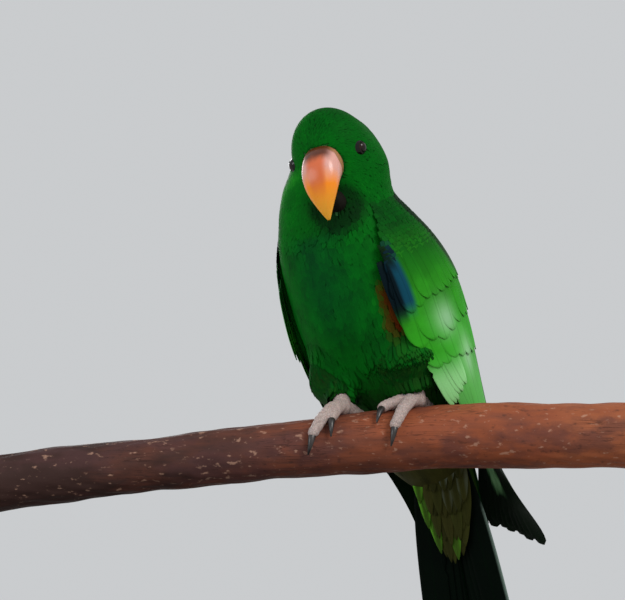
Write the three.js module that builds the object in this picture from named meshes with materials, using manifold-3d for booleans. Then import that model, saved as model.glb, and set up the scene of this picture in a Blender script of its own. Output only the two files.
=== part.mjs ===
// A male eclectus parrot, life size, standing on a cut length of perch held by a plain display stand.
// Millimetres, +Z up. The origin is the centre of the base's underside, +X runs along the perch
// and the bird looks towards -Y, turned to its own right.
import * as THREE from "three";
import { mergeVertices } from "three/addons/utils/BufferGeometryUtils.js";
import Module from "manifold-3d";

const wasm = await Module();
wasm.setup();
const { lerp, degToRad, clamp } = THREE.MathUtils;

// Clearance kept between parts that touch
const GAP = 0.35;
const FLESH_GAP = 0.6;

// Stand and perch
const BASE_LENGTH = 380;
const BASE_DEPTH = 208;
const BASE_HEIGHT = 12;
const BASE_CORNER = 26;
const ROD_SPACING = 344;
const ROD_RADIUS = 4.5;
const PERCH_LENGTH = 370;
const PERCH_TILT = 4.3;
const PERCH_TOP = 158; // above the floor, where the bird stands
// Perch along its length from where the bird stands: height against the straight line, radius
const PERCH = [
  [-215, -8, 15.2],
  [-160, -5, 14.2],
  [-110, -3.1, 13.7],
  [-66, -0.8, 14.2],
  [-30, -0.1, 15],
  [0, 0, 15.7],
  [40, -0.2, 16.6],
  [98, -3.5, 16.8],
  [160, -7.6, 17.2],
];

// Pose of the bird
const BIRD_X = 27; // along the perch from its middle
const BODY_YAW = 35; // turned to the bird's right
const BODY_LEAN = 28; // body axis from the vertical
const TRUNK_AT = [-3.9, 14.4, 58]; // body centre from the perch's top: left, back, up
const HEAD_AT = [6.5, -6, 88]; // middle of the eyes in the trunk frame: left, back, up
const HEAD_TURN = 12.5;
const HEAD_PITCH = 22;
const HEAD_ROLL = 6.5;

// Trunk along its axis: height, half width, breast depth, back depth, shift to the back, shift to the left
const TRUNK = [
  [-112, 6, 4, 6, 12, 2],
  [-104, 16, 9, 14, 11, 2],
  [-93, 24, 14, 21, 8, 2],
  [-80, 29, 18, 27, 5, 1.5],
  [-64, 33, 20, 32, 2.5, 1.5],
  [-48, 37, 28, 35.5, 1, 1],
  [-30, 40.5, 37.5, 38, 0, 0.5],
  [-8, 42.8, 43.5, 40, -0.5, 0],
  [14, 42.8, 44, 40, -1.2, -0.6],
  [32, 40.6, 41.2, 38, -2.8, -1.8],
  [46, 37, 37.2, 34.5, -4.2, -3],
  [56, 33.2, 33.5, 31.6, -5.2, -3.2],
  [66, 29.8, 30, 28.5, -5.2, -2.8],
  [76, 25.6, 26, 26, -3.8, -1.6],
  [92, 12, 12, 12, 0, 2],
];
const BLEND = 13; // how softly head and trunk run together
const TRUNK_RINGS = [-110, -106, -98, -87, -75, -63, -51, -38, -24, -10, 4, 17, 29, 39, 46];
const THROAT = [6.5, -56, 48]; // the line in front of the throat, in the trunk frame
const FAN_RINGS = 14;
const FAN_TURN = 52;
const FACE_FAR = 45;
const FACE_RISE = [24, 50, 72]; // degrees, rings that close the face
const FLESH_SIDES = 24;

// Head: swellings in the head frame, each a centre and three half sizes
const SKULL = { at: [0, 3, -3.2], half: [20.5, 25.6, 20.6] };
const JOWL = { at: [0, 0, -13], half: [23, 18.5, 15] };
const BROW = { at: [0, -11.1, 3.6], half: [17.5, 14.7, 18.3] };
const HEAD_BLEND = 12;

// Eyes
const EYE_RADIUS = 4.2;
const EYE_PROUD = 1.3;
const EYE_FORWARD = 15.5;
const EYE_UP = -3;
const EYE_TURN = 22; // how far the eye looks forward of straight sideways
const LID_THICK = 0.95;

// Cuts between torso, neck and head
const SHOULDER_CUT = 60; // height in the trunk frame
const NAPE_CUT = { at: [0, 10, -14], tilt: 38 }; // in the head frame

const vec = (x, y, z) => new THREE.Vector3(x, y, z);

// Values between the rows of a table whose first column rises, on a smooth curve
function between(table, at) {
  const x = clamp(at, table[0][0], table.at(-1)[0]);
  let i = table.findIndex((row) => row[0] >= x) - 1;
  i = clamp(i, 0, table.length - 2);
  const [a, b] = [table[i], table[i + 1]];
  const [before, after] = [table[i - 1] ?? a, table[i + 2] ?? b];
  const span = b[0] - a[0];
  const t = (x - a[0]) / span;
  return a.slice(1).map((_, k) => {
    const value = (row) => row[k + 1];
    const slopeA = ((value(b) - value(before)) / (b[0] - before[0])) * span;
    const slopeB = ((value(after) - value(a)) / (after[0] - a[0])) * span;
    const [t2, t3] = [t * t, t * t * t];
    return (
      value(a) * (2 * t3 - 3 * t2 + 1) + slopeA * (t3 - 2 * t2 + t) + value(b) * (3 * t2 - 2 * t3) + slopeB * (t3 - t2)
    );
  });
}

// Frames
const model = new THREE.Group();

function frame(parent, at, rotation = [0, 0, 0]) {
  const group = new THREE.Group();
  group.position.set(...at);
  group.rotation.set(...rotation.map(degToRad), "ZXY");
  parent.add(group);
  return group;
}

const perchAt = (x) => between(PERCH, x);
const perchFrame = frame(model, [BIRD_X, 0, PERCH_TOP - perchAt(0)[1]], [0, -PERCH_TILT, 0]);
const bird = frame(model, [BIRD_X, 0, PERCH_TOP], [0, 0, -BODY_YAW]);
const trunk = frame(bird, TRUNK_AT, [BODY_LEAN, 0, 0]);
model.updateMatrixWorld(true);
const headOrigin = bird.worldToLocal(trunk.localToWorld(vec(...HEAD_AT))).toArray();
const head = frame(bird, headOrigin, [HEAD_PITCH, -HEAD_ROLL, HEAD_TURN]);
model.updateMatrixWorld(true);
const trunkToHead = head.matrixWorld.clone().invert().multiply(trunk.matrixWorld);
const headToTrunk = trunkToHead.clone().invert();

// Solids
function geometryOf(points, faces) {
  return new THREE.BufferGeometry().setFromPoints(points).setIndex(faces);
}

// A closed geometry, placed by a frame, as a solid with its faces pointing out
function solidOf(geometry, place = model) {
  const bare = geometry.clone().applyMatrix4(place.matrixWorld);
  bare.deleteAttribute("normal");
  bare.deleteAttribute("uv");
  const merged = mergeVertices(bare, 1e-4);
  const triVerts = new Uint32Array(merged.index.array);
  const vertProperties = merged.attributes.position.array;
  const make = () => new wasm.Manifold(new wasm.Mesh({ numProp: 3, vertProperties, triVerts }));
  const solid = make();
  if (solid.volume() > 0) return solid;
  triVerts.reverse();
  return make();
}

const join = (solids) => wasm.Manifold.union(solids);
const largest = (solid) => solid.decompose().reduce((a, b) => (b.volume() > a.volume() ? b : a));

// Rings of equally many points, closed at both ends on a pole point
function loft(rings, first, last) {
  const n = rings[0].length;
  const points = [...rings.flat(), first, last];
  const faces = [];
  const [start, end] = [points.length - 2, points.length - 1];
  for (let r = 0; r < rings.length; r++)
    for (let i = 0; i < n; i++) {
      const [a, b] = [r * n + i, r * n + ((i + 1) % n)];
      if (r === 0) faces.push(start, b, a);
      if (r === rings.length - 1) faces.push(end, a, b);
      else faces.push(a, b, b + n, a, b + n, a + n);
    }
  return geometryOf(points, faces);
}

const centreOf = (ring) => ring.reduce((sum, p) => sum.add(p), vec(0, 0, 0)).divideScalar(ring.length);

// A round tube of changing radius through points, with domed ends
function tube(points, radii, sides = 7, steps = 5) {
  const curve = new THREE.CatmullRomCurve3(points);
  const frames = curve.computeFrenetFrames(steps);
  const ring = (i, radius, shift) => {
    const centre = curve.getPointAt(i / steps).addScaledVector(frames.tangents[i], shift);
    return Array.from({ length: sides }, (_, k) => {
      const turn = (k / sides) * Math.PI * 2;
      return centre
        .clone()
        .addScaledVector(frames.normals[i], radius * Math.cos(turn))
        .addScaledVector(frames.binormals[i], radius * Math.sin(turn));
    });
  };
  const radiusAt = (i) => {
    const x = (i / steps) * (radii.length - 1);
    const k = Math.min(Math.floor(x), radii.length - 2);
    return lerp(radii[k], radii[k + 1], x - k);
  };
  const [first, last] = [radiusAt(0), radiusAt(steps)];
  const rings = [ring(0, first * 0.75, -first * 0.6)];
  for (let i = 0; i <= steps; i++) rings.push(ring(i, radiusAt(i), 0));
  rings.push(ring(steps, last * 0.75, last * 0.6));
  const pole = (i, reach) => curve.getPointAt(i / steps).addScaledVector(frames.tangents[i], reach);
  return loft(rings, pole(0, -first), pole(steps, last));
}

// The half of space on the far side of a plane, as a large box
function halfSpace(point, normal) {
  const size = 600;
  const box = new THREE.BoxGeometry(size, size, size);
  const turn = new THREE.Quaternion().setFromUnitVectors(vec(0, 0, 1), normal);
  const centre = point.clone().addScaledVector(normal, size / 2);
  return solidOf(box.applyMatrix4(new THREE.Matrix4().compose(centre, turn, vec(1, 1, 1))));
}

// Flesh: one smooth body for torso, neck and head, described by a distance-like field
function ellipsoidField(p, { at, half }) {
  const q = vec(p.x - at[0], p.y - at[1], p.z - at[2]);
  const near = vec(q.x / half[0], q.y / half[1], q.z / half[2]);
  const slope = vec(near.x / half[0], near.y / half[1], near.z / half[2]).length();
  return slope < 1e-9 ? -Math.min(...half) : (near.length() * (near.length() - 1)) / slope;
}

function soften(a, b, reach) {
  const h = Math.max(reach - Math.abs(a - b), 0) / reach;
  return Math.min(a, b) - (h * h * reach) / 4;
}

function trunkField(p) {
  const [width, breast, back, shift, sway] = between(TRUNK, p.z);
  const [x, y] = [p.x - sway, p.y - shift];
  const depth = y < 0 ? breast : back;
  const near = Math.hypot(x / width, y / depth);
  const slope = Math.hypot(x / width ** 2, y / depth ** 2);
  const side = slope < 1e-9 ? -Math.min(width, depth) : (near * (near - 1)) / slope;
  const past = Math.max(TRUNK[0][0] - p.z, p.z - TRUNK.at(-1)[0]);
  return past > 0 ? Math.hypot(Math.max(side, 0), past) : side;
}

function fleshField(p) {
  const q = p.clone().applyMatrix4(trunkToHead);
  const face = soften(
    soften(ellipsoidField(q, SKULL), ellipsoidField(q, JOWL), HEAD_BLEND),
    ellipsoidField(q, BROW),
    HEAD_BLEND,
  );
  return soften(trunkField(p), face, BLEND);
}

// How far a ray in the trunk frame runs before it leaves the flesh, grown by some clearance
function reach(from, direction, grow = 0) {
  let [inside, outside] = [0, 70];
  for (let i = 0; i < 26; i++) {
    const middle = (inside + outside) / 2;
    if (fleshField(from.clone().addScaledVector(direction, middle)) < grow) inside = middle;
    else outside = middle;
  }
  return inside;
}

// Rings square to the trunk up to the shoulders, then fanned round a line in front of the throat to the face
function fleshStations(grow) {
  const stations = TRUNK_RINGS.map((z, i) => {
    const [, , , shift, sway] = between(TRUNK, z);
    return { centre: vec(sway, shift, i === 0 ? z - grow : z), inward: vec(0, -1, 0), along: vec(0, 0, 1) };
  });
  const [, throatY, throatZ] = THROAT;
  const start = stations.at(-1).centre;
  for (let i = 0; i <= FAN_RINGS; i++) {
    const share = i / FAN_RINGS;
    const turn = degToRad(FAN_TURN) * share;
    const far = lerp(start.y - throatY, FACE_FAR, share ** 1.5);
    const inward = vec(0, -Math.cos(turn), -Math.sin(turn));
    const centre = vec(lerp(start.x, THROAT[0], share), throatY, throatZ).addScaledVector(inward, -far);
    stations.push({ centre, inward, along: vec(0, -Math.sin(turn), Math.cos(turn)) });
  }
  return stations;
}

function fleshGeometry(grow) {
  const stations = fleshStations(grow);
  const left = vec(1, 0, 0);
  const rings = stations.map(({ centre, inward }) =>
    Array.from({ length: FLESH_SIDES }, (_, k) => {
      const turn = (k / FLESH_SIDES) * Math.PI * 2;
      const out = inward.clone().multiplyScalar(Math.cos(turn)).addScaledVector(left, Math.sin(turn));
      return centre.clone().addScaledVector(out, reach(centre, out, grow));
    }),
  );
  const last = stations.at(-1);
  for (const rise of FACE_RISE) {
    const [flat, ahead] = [Math.cos(degToRad(rise)), Math.sin(degToRad(rise))];
    rings.push(
      Array.from({ length: FLESH_SIDES }, (_, k) => {
        const turn = (k / FLESH_SIDES) * Math.PI * 2;
        const out = last.inward.clone().multiplyScalar(Math.cos(turn)).addScaledVector(left, Math.sin(turn));
        out.multiplyScalar(flat).addScaledVector(last.along, ahead);
        return last.centre.clone().addScaledVector(out, reach(last.centre, out, grow));
      }),
    );
  }
  const front = last.centre.clone().addScaledVector(last.along, reach(last.centre, last.along, grow));
  return loft(rings, vec(2, 12, TRUNK[0][0] - 1.5 * grow), front);
}

const flesh = solidOf(fleshGeometry(0), trunk);
const fleshGrown = solidOf(fleshGeometry(FLESH_GAP), trunk);

function fleshCuts() {
  const shoulder = vec(0, 0, SHOULDER_CUT).applyMatrix4(trunk.matrixWorld);
  const up = vec(0, 0, 1).transformDirection(trunk.matrixWorld);
  const nape = vec(...NAPE_CUT.at).applyMatrix4(head.matrixWorld);
  const tilt = degToRad(NAPE_CUT.tilt);
  const onward = vec(0, -Math.sin(tilt), Math.cos(tilt)).transformDirection(head.matrixWorld);
  const shifted = (point, normal, by) => point.clone().addScaledVector(normal, by);
  return {
    aboveShoulder: halfSpace(shifted(shoulder, up, GAP / 2), up),
    belowShoulder: halfSpace(shifted(shoulder, up, -GAP / 2), up.clone().negate()),
    beyondNape: halfSpace(shifted(nape, onward, GAP / 2), onward),
    beforeNape: halfSpace(shifted(nape, onward, -GAP / 2), onward.clone().negate()),
  };
}

// Perch: a slightly crooked pole
function perchRim(x, turn, clear) {
  const [height, radius] = perchAt(x);
  const rough = 0.4 * Math.sin(x * 0.035 + turn) + 0.3 * Math.sin(x * 0.083 + 2 * turn + 1.3);
  const angle = turn;
  return vec(x, -(radius + rough + clear) * Math.sin(angle), height + (radius + rough + clear) * Math.cos(angle));
}

function perchGeometry(grow) {
  const [steps, sides] = [16, 18];
  const rings = [];
  for (let i = 0; i <= steps; i++) {
    const x = PERCH_LENGTH * (i / steps - 0.5) - BIRD_X;
    rings.push(Array.from({ length: sides }, (_, k) => perchRim(x, (k / sides) * Math.PI * 2, grow)));
  }
  return loft(rings, centreOf(rings[0]), centreOf(rings.at(-1)));
}

const perch = solidOf(perchGeometry(0), perchFrame);
const perchGrown = solidOf(perchGeometry(GAP), perchFrame);

// Feathers: thin curved vanes, thickest along the shaft
const VANE_EDGE = 0.5;
const VANE_SHAFT = 0.8;
const FLIGHT_SHAPE = [
  [0, 0.5],
  [0.28, 0.95],
  [0.68, 1],
  [0.93, 0.72],
  [1, 0.28],
];
const COVERT_SHAPE = [
  [0, 0.7],
  [0.6, 1],
  [0.9, 0.74],
  [1, 0.34],
];

// Repeatable small differences from feather to feather
function variation(seed) {
  let state = seed;
  return (spread) => {
    state = (state * 48271) % 2147483647;
    return ((state / 2147483647) * 2 - 1) * spread;
  };
}

// A closed slab between two grids of points, both split into triangles alike
function slab(top, bottom) {
  const [rows, columns] = [top.length, top[0].length];
  const points = [...top.flat(), ...bottom.flat()];
  const faces = [];
  const quad = (a, b, c, d) => faces.push(a, b, c, a, c, d);
  const under = rows * columns;
  const at = (r, c) => r * columns + c;
  for (let r = 0; r + 1 < rows; r++)
    for (let c = 0; c + 1 < columns; c++) {
      const [a, b, e, d] = [at(r, c), at(r, c + 1), at(r + 1, c + 1), at(r + 1, c)];
      quad(a, b, e, d);
      faces.push(under + a, under + e, under + b, under + a, under + d, under + e);
    }
  const wall = (a, b) => quad(b, a, under + a, under + b);
  for (let c = 0; c + 1 < columns; c++) {
    wall(at(0, c), at(0, c + 1));
    wall(at(rows - 1, c + 1), at(rows - 1, c));
  }
  for (let r = 0; r + 1 < rows; r++) {
    wall(at(r + 1, 0), at(r, 0));
    wall(at(r, columns - 1), at(r + 1, columns - 1));
  }
  return geometryOf(points, faces);
}

// One vane from its rows: where it lies along itself, across itself and off the surface
function vane(shape, width, locate) {
  const [top, bottom] = [[], []];
  const spread = [-1, 0, 1];
  for (const [t, share] of shape) {
    const thick = spread.map((s) => (s === 0 ? VANE_SHAFT : VANE_EDGE) / 2);
    top.push(spread.map((s, i) => locate(t, (s * share * width) / 2, s * share, thick[i])));
    bottom.push(spread.map((s, i) => locate(t, (s * share * width) / 2, s * share, -thick[i])));
  }
  return slab(top, bottom);
}

// Eyes: balls set into the head, each with a raised ring of lid
function eyeParts(side) {
  const from = vec(0, -EYE_FORWARD, EYE_UP).applyMatrix4(headToTrunk);
  const sideways = vec(side, 0, 0).transformDirection(headToTrunk);
  const surface = side * reach(from, sideways);
  const turn = degToRad(EYE_TURN);
  const look = vec(side * Math.cos(turn), -Math.sin(turn), 0);
  const centre = vec(surface, -EYE_FORWARD, EYE_UP).addScaledVector(look, EYE_PROUD - EYE_RADIUS);
  const ball = (radius) => {
    const geometry = new THREE.SphereGeometry(radius, 14, 8);
    return solidOf(geometry.translate(centre.x, centre.y, centre.z), head);
  };
  const rim = Math.sqrt(EYE_RADIUS ** 2 - (EYE_RADIUS - EYE_PROUD) ** 2) + LID_THICK * 0.55;
  const ring = new THREE.TorusGeometry(rim, LID_THICK, 5, 14);
  const pose = new THREE.Matrix4().compose(
    centre.clone().addScaledVector(look, EYE_RADIUS - EYE_PROUD),
    new THREE.Quaternion().setFromUnitVectors(vec(0, 0, 1), look),
    vec(1, 1, 1),
  );
  return { ball: ball(EYE_RADIUS), socket: ball(EYE_RADIUS + GAP), lid: solidOf(ring.applyMatrix4(pose), head) };
}

// Bill: each half is lofted between its upper and lower outline in the head frame
function billHalf({ upper, lower, widths, crest, rings, sides }) {
  const curve = (points) => new THREE.CubicBezierCurve(...points.map(([f, u]) => new THREE.Vector2(f, u)));
  const [top, bottom] = [curve(upper), curve(lower)];
  const sections = [];
  for (let i = 0; i < rings; i++) {
    const t = i / (rings - 1);
    const [a, b] = [top.getPoint(t), bottom.getPoint(t)];
    const half = between(widths, t)[0];
    sections.push(
      Array.from({ length: sides }, (_, k) => {
        const turn = (k / sides) * Math.PI * 2;
        const fall = (1 - Math.cos(turn)) / 2;
        const across = Math.sin(turn);
        const x = half * Math.sign(across) * Math.abs(across) ** crest;
        return vec(x, -lerp(a.x, b.x, fall), lerp(a.y, b.y, fall));
      }),
    );
  }
  return loft(sections, centreOf(sections[0]), centreOf(sections.at(-1)));
}

const UPPER_BILL = {
  upper: [
    [16, 4.5],
    [36, 4.5],
    [43.5, -14],
    [35.5, -34.5],
  ],
  lower: [
    [11, -14],
    [22, -17],
    [30, -16],
    [34.8, -34.5],
  ],
  widths: [
    [0, 9],
    [0.2, 10.2],
    [0.45, 10],
    [0.62, 8.9],
    [0.76, 6.9],
    [0.88, 4.2],
    [0.96, 2],
    [1, 0.7],
  ],
  crest: 0.8,
  rings: 13,
  sides: 16,
};
const LOWER_BILL = {
  upper: [
    [10, -17.4],
    [17, -19],
    [23, -19.6],
    [28, -21.4],
  ],
  lower: [
    [10, -33],
    [18, -36.5],
    [25, -36],
    [28.8, -27],
  ],
  widths: [
    [0, 7.8],
    [0.5, 7.8],
    [0.85, 6],
    [1, 3.8],
  ],
  crest: 0.8,
  rings: 8,
  sides: 14,
};
const NOSTRIL = { at: [5.2, -22.8, 2.6], radius: 1.5 };

function upperBill() {
  const nostrils = [-1, 1].map((side) => {
    const [x, y, z] = NOSTRIL.at;
    const pit = new THREE.SphereGeometry(NOSTRIL.radius, 8, 6);
    return solidOf(pit.translate(side * x, y, z), head);
  });
  return largest(solidOf(billHalf(UPPER_BILL), head).subtract(fleshGrown).subtract(join(nostrils)));
}

// Wing: a guide surface round the trunk, in height and angle from the breast, with a lift off the surface
const WING_GUIDE = [
  [-152, 70, 20, 26, 6, 0],
  [-124, 50, 20, 27, 5, 1.5],
  [-100, 40, 21, 30, 4, 2],
  [-86, 37.5, 22, 33, 3, 2],
  [-70, 38, 25, 35, 1.5, 1.5],
  [-50, 40, 32, 37, 0.5, 1],
  [-30, 41.8, 39, 39.5, 0, 0.5],
  [-10, 43, 43.6, 40.4, -0.5, 0],
  [12, 43, 44, 40.4, -1.1, -0.6],
  [30, 41.2, 41.8, 38.6, -2.6, -1.6],
  [44, 38, 38.2, 35.2, -4, -2.8],
  [58, 33.2, 33.4, 31.4, -5.2, -3.2],
];
const SPLAY_FROM = -60;

function wingPlace(side, splay) {
  return (down, angle, lift) => {
    const [width, breast, back, shift, sway] = between(WING_GUIDE, -down);
    const turn = degToRad(angle);
    const depth = Math.cos(turn) > 0 ? breast : back;
    const out = (width + lift) * Math.sin(turn) + splay * Math.max(0, down + SPLAY_FROM);
    return vec(sway + side * out, shift - (depth + lift) * Math.cos(turn), -down);
  };
}

// Wing body under the feathers: depth below the trunk's middle, front angle, back angle, thickness
const WING_CORE = [
  [-54, 66, 128, 1],
  [-46, 54, 142, 3.6],
  [-30, 48, 149, 5],
  [-10, 47, 152, 5.2],
  [10, 49, 153, 4.8],
  [26, 54, 153, 4],
  [40, 62, 150, 3],
  [52, 72, 142, 1.6],
];
// Tiers of wing feathers: how many, width, tilt, shape, then depth, angle and lift of root and tip
// for the foremost and the rearmost feather
const WING_TIERS = [
  {
    name: "primaries",
    count: 5,
    width: 10.5,
    tilt: 1.2,
    shape: FLIGHT_SHAPE,
    front: { root: [18, 60, 1.6], tip: [148, 135, 0.4] },
    back: { root: [18, 94, 1.6], tip: [137, 155, 0.4] },
  },
  {
    name: "secondaries",
    count: 5,
    width: 15.5,
    tilt: 1,
    shape: FLIGHT_SHAPE,
    front: { root: [8, 60, 3.2], tip: [62, 80, 5] },
    back: { root: [2, 126, 3.2], tip: [101, 123, 5] },
  },
  {
    name: "tertials",
    count: 3,
    width: 14,
    tilt: 0.9,
    shape: FLIGHT_SHAPE,
    front: { root: [-4, 136, 3], tip: [90, 132, 5.2] },
    back: { root: [-10, 153, 3], tip: [66, 147, 5.2] },
  },
  {
    name: "primary coverts",
    count: 2,
    width: 10,
    tilt: 0.8,
    shape: COVERT_SHAPE,
    front: { root: [-6, 50, 2.4], tip: [48, 63, 4.6] },
    back: { root: [-6, 60, 2.8], tip: [42, 75, 5.4] },
  },
  {
    name: "greater coverts",
    count: 5,
    width: 19,
    tilt: 0.9,
    shape: COVERT_SHAPE,
    front: { root: [-10, 57, 3.6], tip: [25, 62, 6.6] },
    back: { root: [-10, 146, 3.6], tip: [34, 140, 6.6] },
  },
  {
    name: "median coverts",
    count: 5,
    width: 19,
    tilt: 0.9,
    shape: COVERT_SHAPE,
    front: { root: [-30, 55, 3.6], tip: [3, 56, 7.6] },
    back: { root: [-30, 142, 3.6], tip: [7, 140, 7.4] },
  },
  {
    name: "lesser coverts",
    count: 5,
    width: 19,
    tilt: 0.9,
    shape: COVERT_SHAPE,
    front: { root: [-48, 61, 1.6], tip: [-17, 58, 7.8] },
    back: { root: [-48, 140, 1.4], tip: [-11, 143, 7.8] },
  },
];
const WING_ROUND = 44; // mean radius of the guide surface, to turn millimetres into degrees

// A shell that follows a guide surface between a front and a back edge
function shell(place, outline, depth, columns = 5) {
  const rings = outline.map(([down, front, back, thick]) => {
    const outer = [];
    const inner = [];
    for (let k = 0; k <= columns; k++) {
      const share = k / columns;
      const angle = lerp(front, back, share);
      const crown = 1 - Math.abs(2 * share - 1) ** 3;
      outer.push(place(down, angle, lerp(thick * 0.3, thick, crown)));
      inner.unshift(place(down, angle, -depth));
    }
    return [...outer, ...inner];
  });
  const pole = ([down, front, back], beyond) => place(down + beyond, (front + back) / 2, -depth);
  return loft(rings, pole(outline[0], -2), pole(outline.at(-1), 2));
}

function wingVane(place, shape, width, tilt, root, tip) {
  const along = tip[0] - root[0];
  const across = degToRad(tip[1] - root[1]) * WING_ROUND;
  const length = Math.hypot(along, across);
  const [aside, asideAngle] = [-across / length, (along / length / WING_ROUND) * (180 / Math.PI)];
  return vane(shape, width, (t, off, share, thick) => {
    const bow = Math.sin(t * Math.PI) * 0.3;
    const lift = lerp(root[2], tip[2], t ** 0.8) + bow + tilt * share + thick;
    return place(lerp(root[0], tip[0], t) + aside * off, lerp(root[1], tip[1], t) + asideAngle * off, lift);
  });
}

function wingTier(place, tier, vary) {
  const vanes = [];
  for (let i = 0; i < tier.count; i++) {
    const share = i / (tier.count - 1);
    const mix = (end) => tier.front[end].map((value, k) => lerp(value, tier.back[end][k], share));
    const [root, tip] = [mix("root"), mix("tip")];
    tip[0] += vary(0.8);
    tip[1] += vary(0.3);
    vanes.push(solidOf(wingVane(place, tier.shape, tier.width, -tier.tilt, root, tip), trunk));
  }
  return vanes;
}

function wing(side, splay, seed, room) {
  const place = wingPlace(side, splay);
  const vary = variation(seed);
  const vanes = WING_TIERS.flatMap((tier) => wingTier(place, tier, vary));
  const body = join([solidOf(shell(place, WING_CORE, 1.6), trunk), ...vanes]);
  return largest(body.subtract(fleshGrown).subtract(perchGrown).subtract(room));
}

// Tail: twelve feathers in layers, the middle pair on top, with coverts over and under their roots
const TAIL_AT = [8.5, 13, -90];
const TAIL_DROP = 9; // how far it hangs in front of the body's axis
const TAIL_LENGTH = 118;
const TAIL_PAIRS = 6;
const TAIL_WIDTH = 17;
const TAIL_LAYER = 0.92;
const TAIL_ROOT_SPREAD = 11;
const TAIL_TIP_SPREAD = 20;
const TAIL_CORE = [
  [8, 15, 9, 7],
  [0, 17, 9, 7],
  [-10, 18, 8, 6],
  [-20, 18.5, 7, 4],
  [-28, 18, 5, 2],
];
// Coverts: how many, width, then spread, drop and depth of root and tip
const TAIL_COVERTS = [
  { count: 5, width: 13, root: [11, -6, 3.6], tip: [13, -42, 2.3], inset: 8 },
  { count: 4, width: 13, root: [10, 2, 5], tip: [10, -26, 4.6], inset: 5 },
  { count: 4, width: 13, root: [10, -8, -7], tip: [8.5, -53, -8.6], inset: 9 },
  { count: 5, width: 12, root: [12, 0, -8.2], tip: [13, -31, -10.4], inset: 7 },
];
const tailFrame = frame(trunk, TAIL_AT, [-TAIL_DROP, 0, 0]);
model.updateMatrixWorld(true);

function tailCore() {
  const rings = TAIL_CORE.map(([z, half, below, above]) =>
    Array.from({ length: 14 }, (_, k) => {
      const turn = (k / 14) * Math.PI * 2;
      const y = Math.sin(turn) * (Math.sin(turn) < 0 ? below : above);
      return vec(half * Math.cos(turn), y, z);
    }),
  );
  return loft(rings, centreOf(rings[0]), centreOf(rings.at(-1)));
}

// One of a pair; past the middle pair the inner web stops at the midline
function tailFeather(pair, side, vary) {
  const share = pair / (TAIL_PAIRS - 1);
  const [rootX, tipX] = [TAIL_ROOT_SPREAD, TAIL_TIP_SPREAD].map((spread) => side * (1 + spread * share));
  const length = TAIL_LENGTH - 7 * share ** 2 + vary(1);
  const layer = -TAIL_LAYER * (pair === 0 ? (side > 0 ? 0 : 1) : pair + 1);
  return vane(FLIGHT_SHAPE, TAIL_WIDTH, (t, off, web, thick) => {
    let x = lerp(rootX, tipX, t) + off;
    if (pair > 0) x = side * Math.max(side * x, 0.7 - 0.4 * web * side);
    const roof = -0.0016 * x * x;
    return vec(x, 1.5 + layer + roof + thick, -4 - t * (length - 4));
  });
}

function tailCoverts({ count, width, root, tip, inset }, vary) {
  return Array.from({ length: count }, (_, i) => {
    const place = (i / (count - 1)) * 2 - 1;
    const length = tip[1] + inset * place * place + vary(1.5);
    const layer = i % 2 ? 0.5 : -0.5;
    const rise = Math.sign(root[2]);
    return vane(COVERT_SHAPE, width, (t, off, web, thick) => {
      const x = lerp(root[0], tip[0], t) * place + off;
      const y = lerp(root[2], tip[2], t) + layer - rise * 0.006 * x * x;
      return vec(x, y + thick, lerp(root[1], length, t));
    });
  });
}

function tail(seed) {
  const vary = variation(seed);
  const vanes = [];
  for (let pair = 0; pair < TAIL_PAIRS; pair++)
    for (const side of [1, -1]) vanes.push(tailFeather(pair, side, vary));
  for (const tier of TAIL_COVERTS) vanes.push(...tailCoverts(tier, vary));
  const solids = [tailCore(), ...vanes].map((geometry) => solidOf(geometry, tailFrame));
  return largest(join(solids).subtract(fleshGrown));
}

// Legs: hip in the trunk frame, thigh radii down to the ankle, and toes that run over the perch
// from the foot's middle, in millimetres along it and degrees round it
const TOE_RADII = [4.1, 3.5, 3.2, 2.7];
const FEET = [
  {
    name: "left",
    at: 27,
    hip: [22, -20, -10],
    thigh: [14, 18.5, 9],
    toes: [
      [-19, 34],
      [-14, 74],
      [10, -46],
      [2, -72],
    ],
  },
  {
    name: "right",
    at: -12,
    hip: [-21, -16, -24],
    thigh: [13, 17.5, 7.5],
    toes: [
      [-6, 50],
      [-16, 76],
      [13, -44],
      [5, -70],
    ],
  },
];
const CLAW_LENGTH = 9;
const CLAW_RADII = [2, 1.7, 1.1, 0.45];
const ANKLE_UP = 9;

const onPerch = (x, turn, clear) => perchRim(x, degToRad(turn), clear);

function toe(at, [along, turn], grow = 0) {
  const points = [0, 0.35, 0.7, 1].map((t) => onPerch(at + along * t, turn * t, lerp(TOE_RADII[0], TOE_RADII[3], t)));
  const radii = TOE_RADII.map((r) => r + grow);
  return solidOf(tube(points, radii), perchFrame);
}

function claw(at, [along, turn], grow = 0) {
  const onward = Math.sign(turn) * ((CLAW_LENGTH / perchAt(at)[1]) * 180) / Math.PI;
  const points = [0, 0.35, 0.7, 1].map((t) => {
    const lift = TOE_RADII[3] + 2.1 * Math.sin(t * Math.PI * 0.62) - 2.3 * t;
    return onPerch(at + along * (1 + 0.2 * t), turn + onward * t, lift);
  });
  const radii = CLAW_RADII.map((r) => r + grow);
  return solidOf(tube(points, radii, 6, 4), perchFrame);
}

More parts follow.
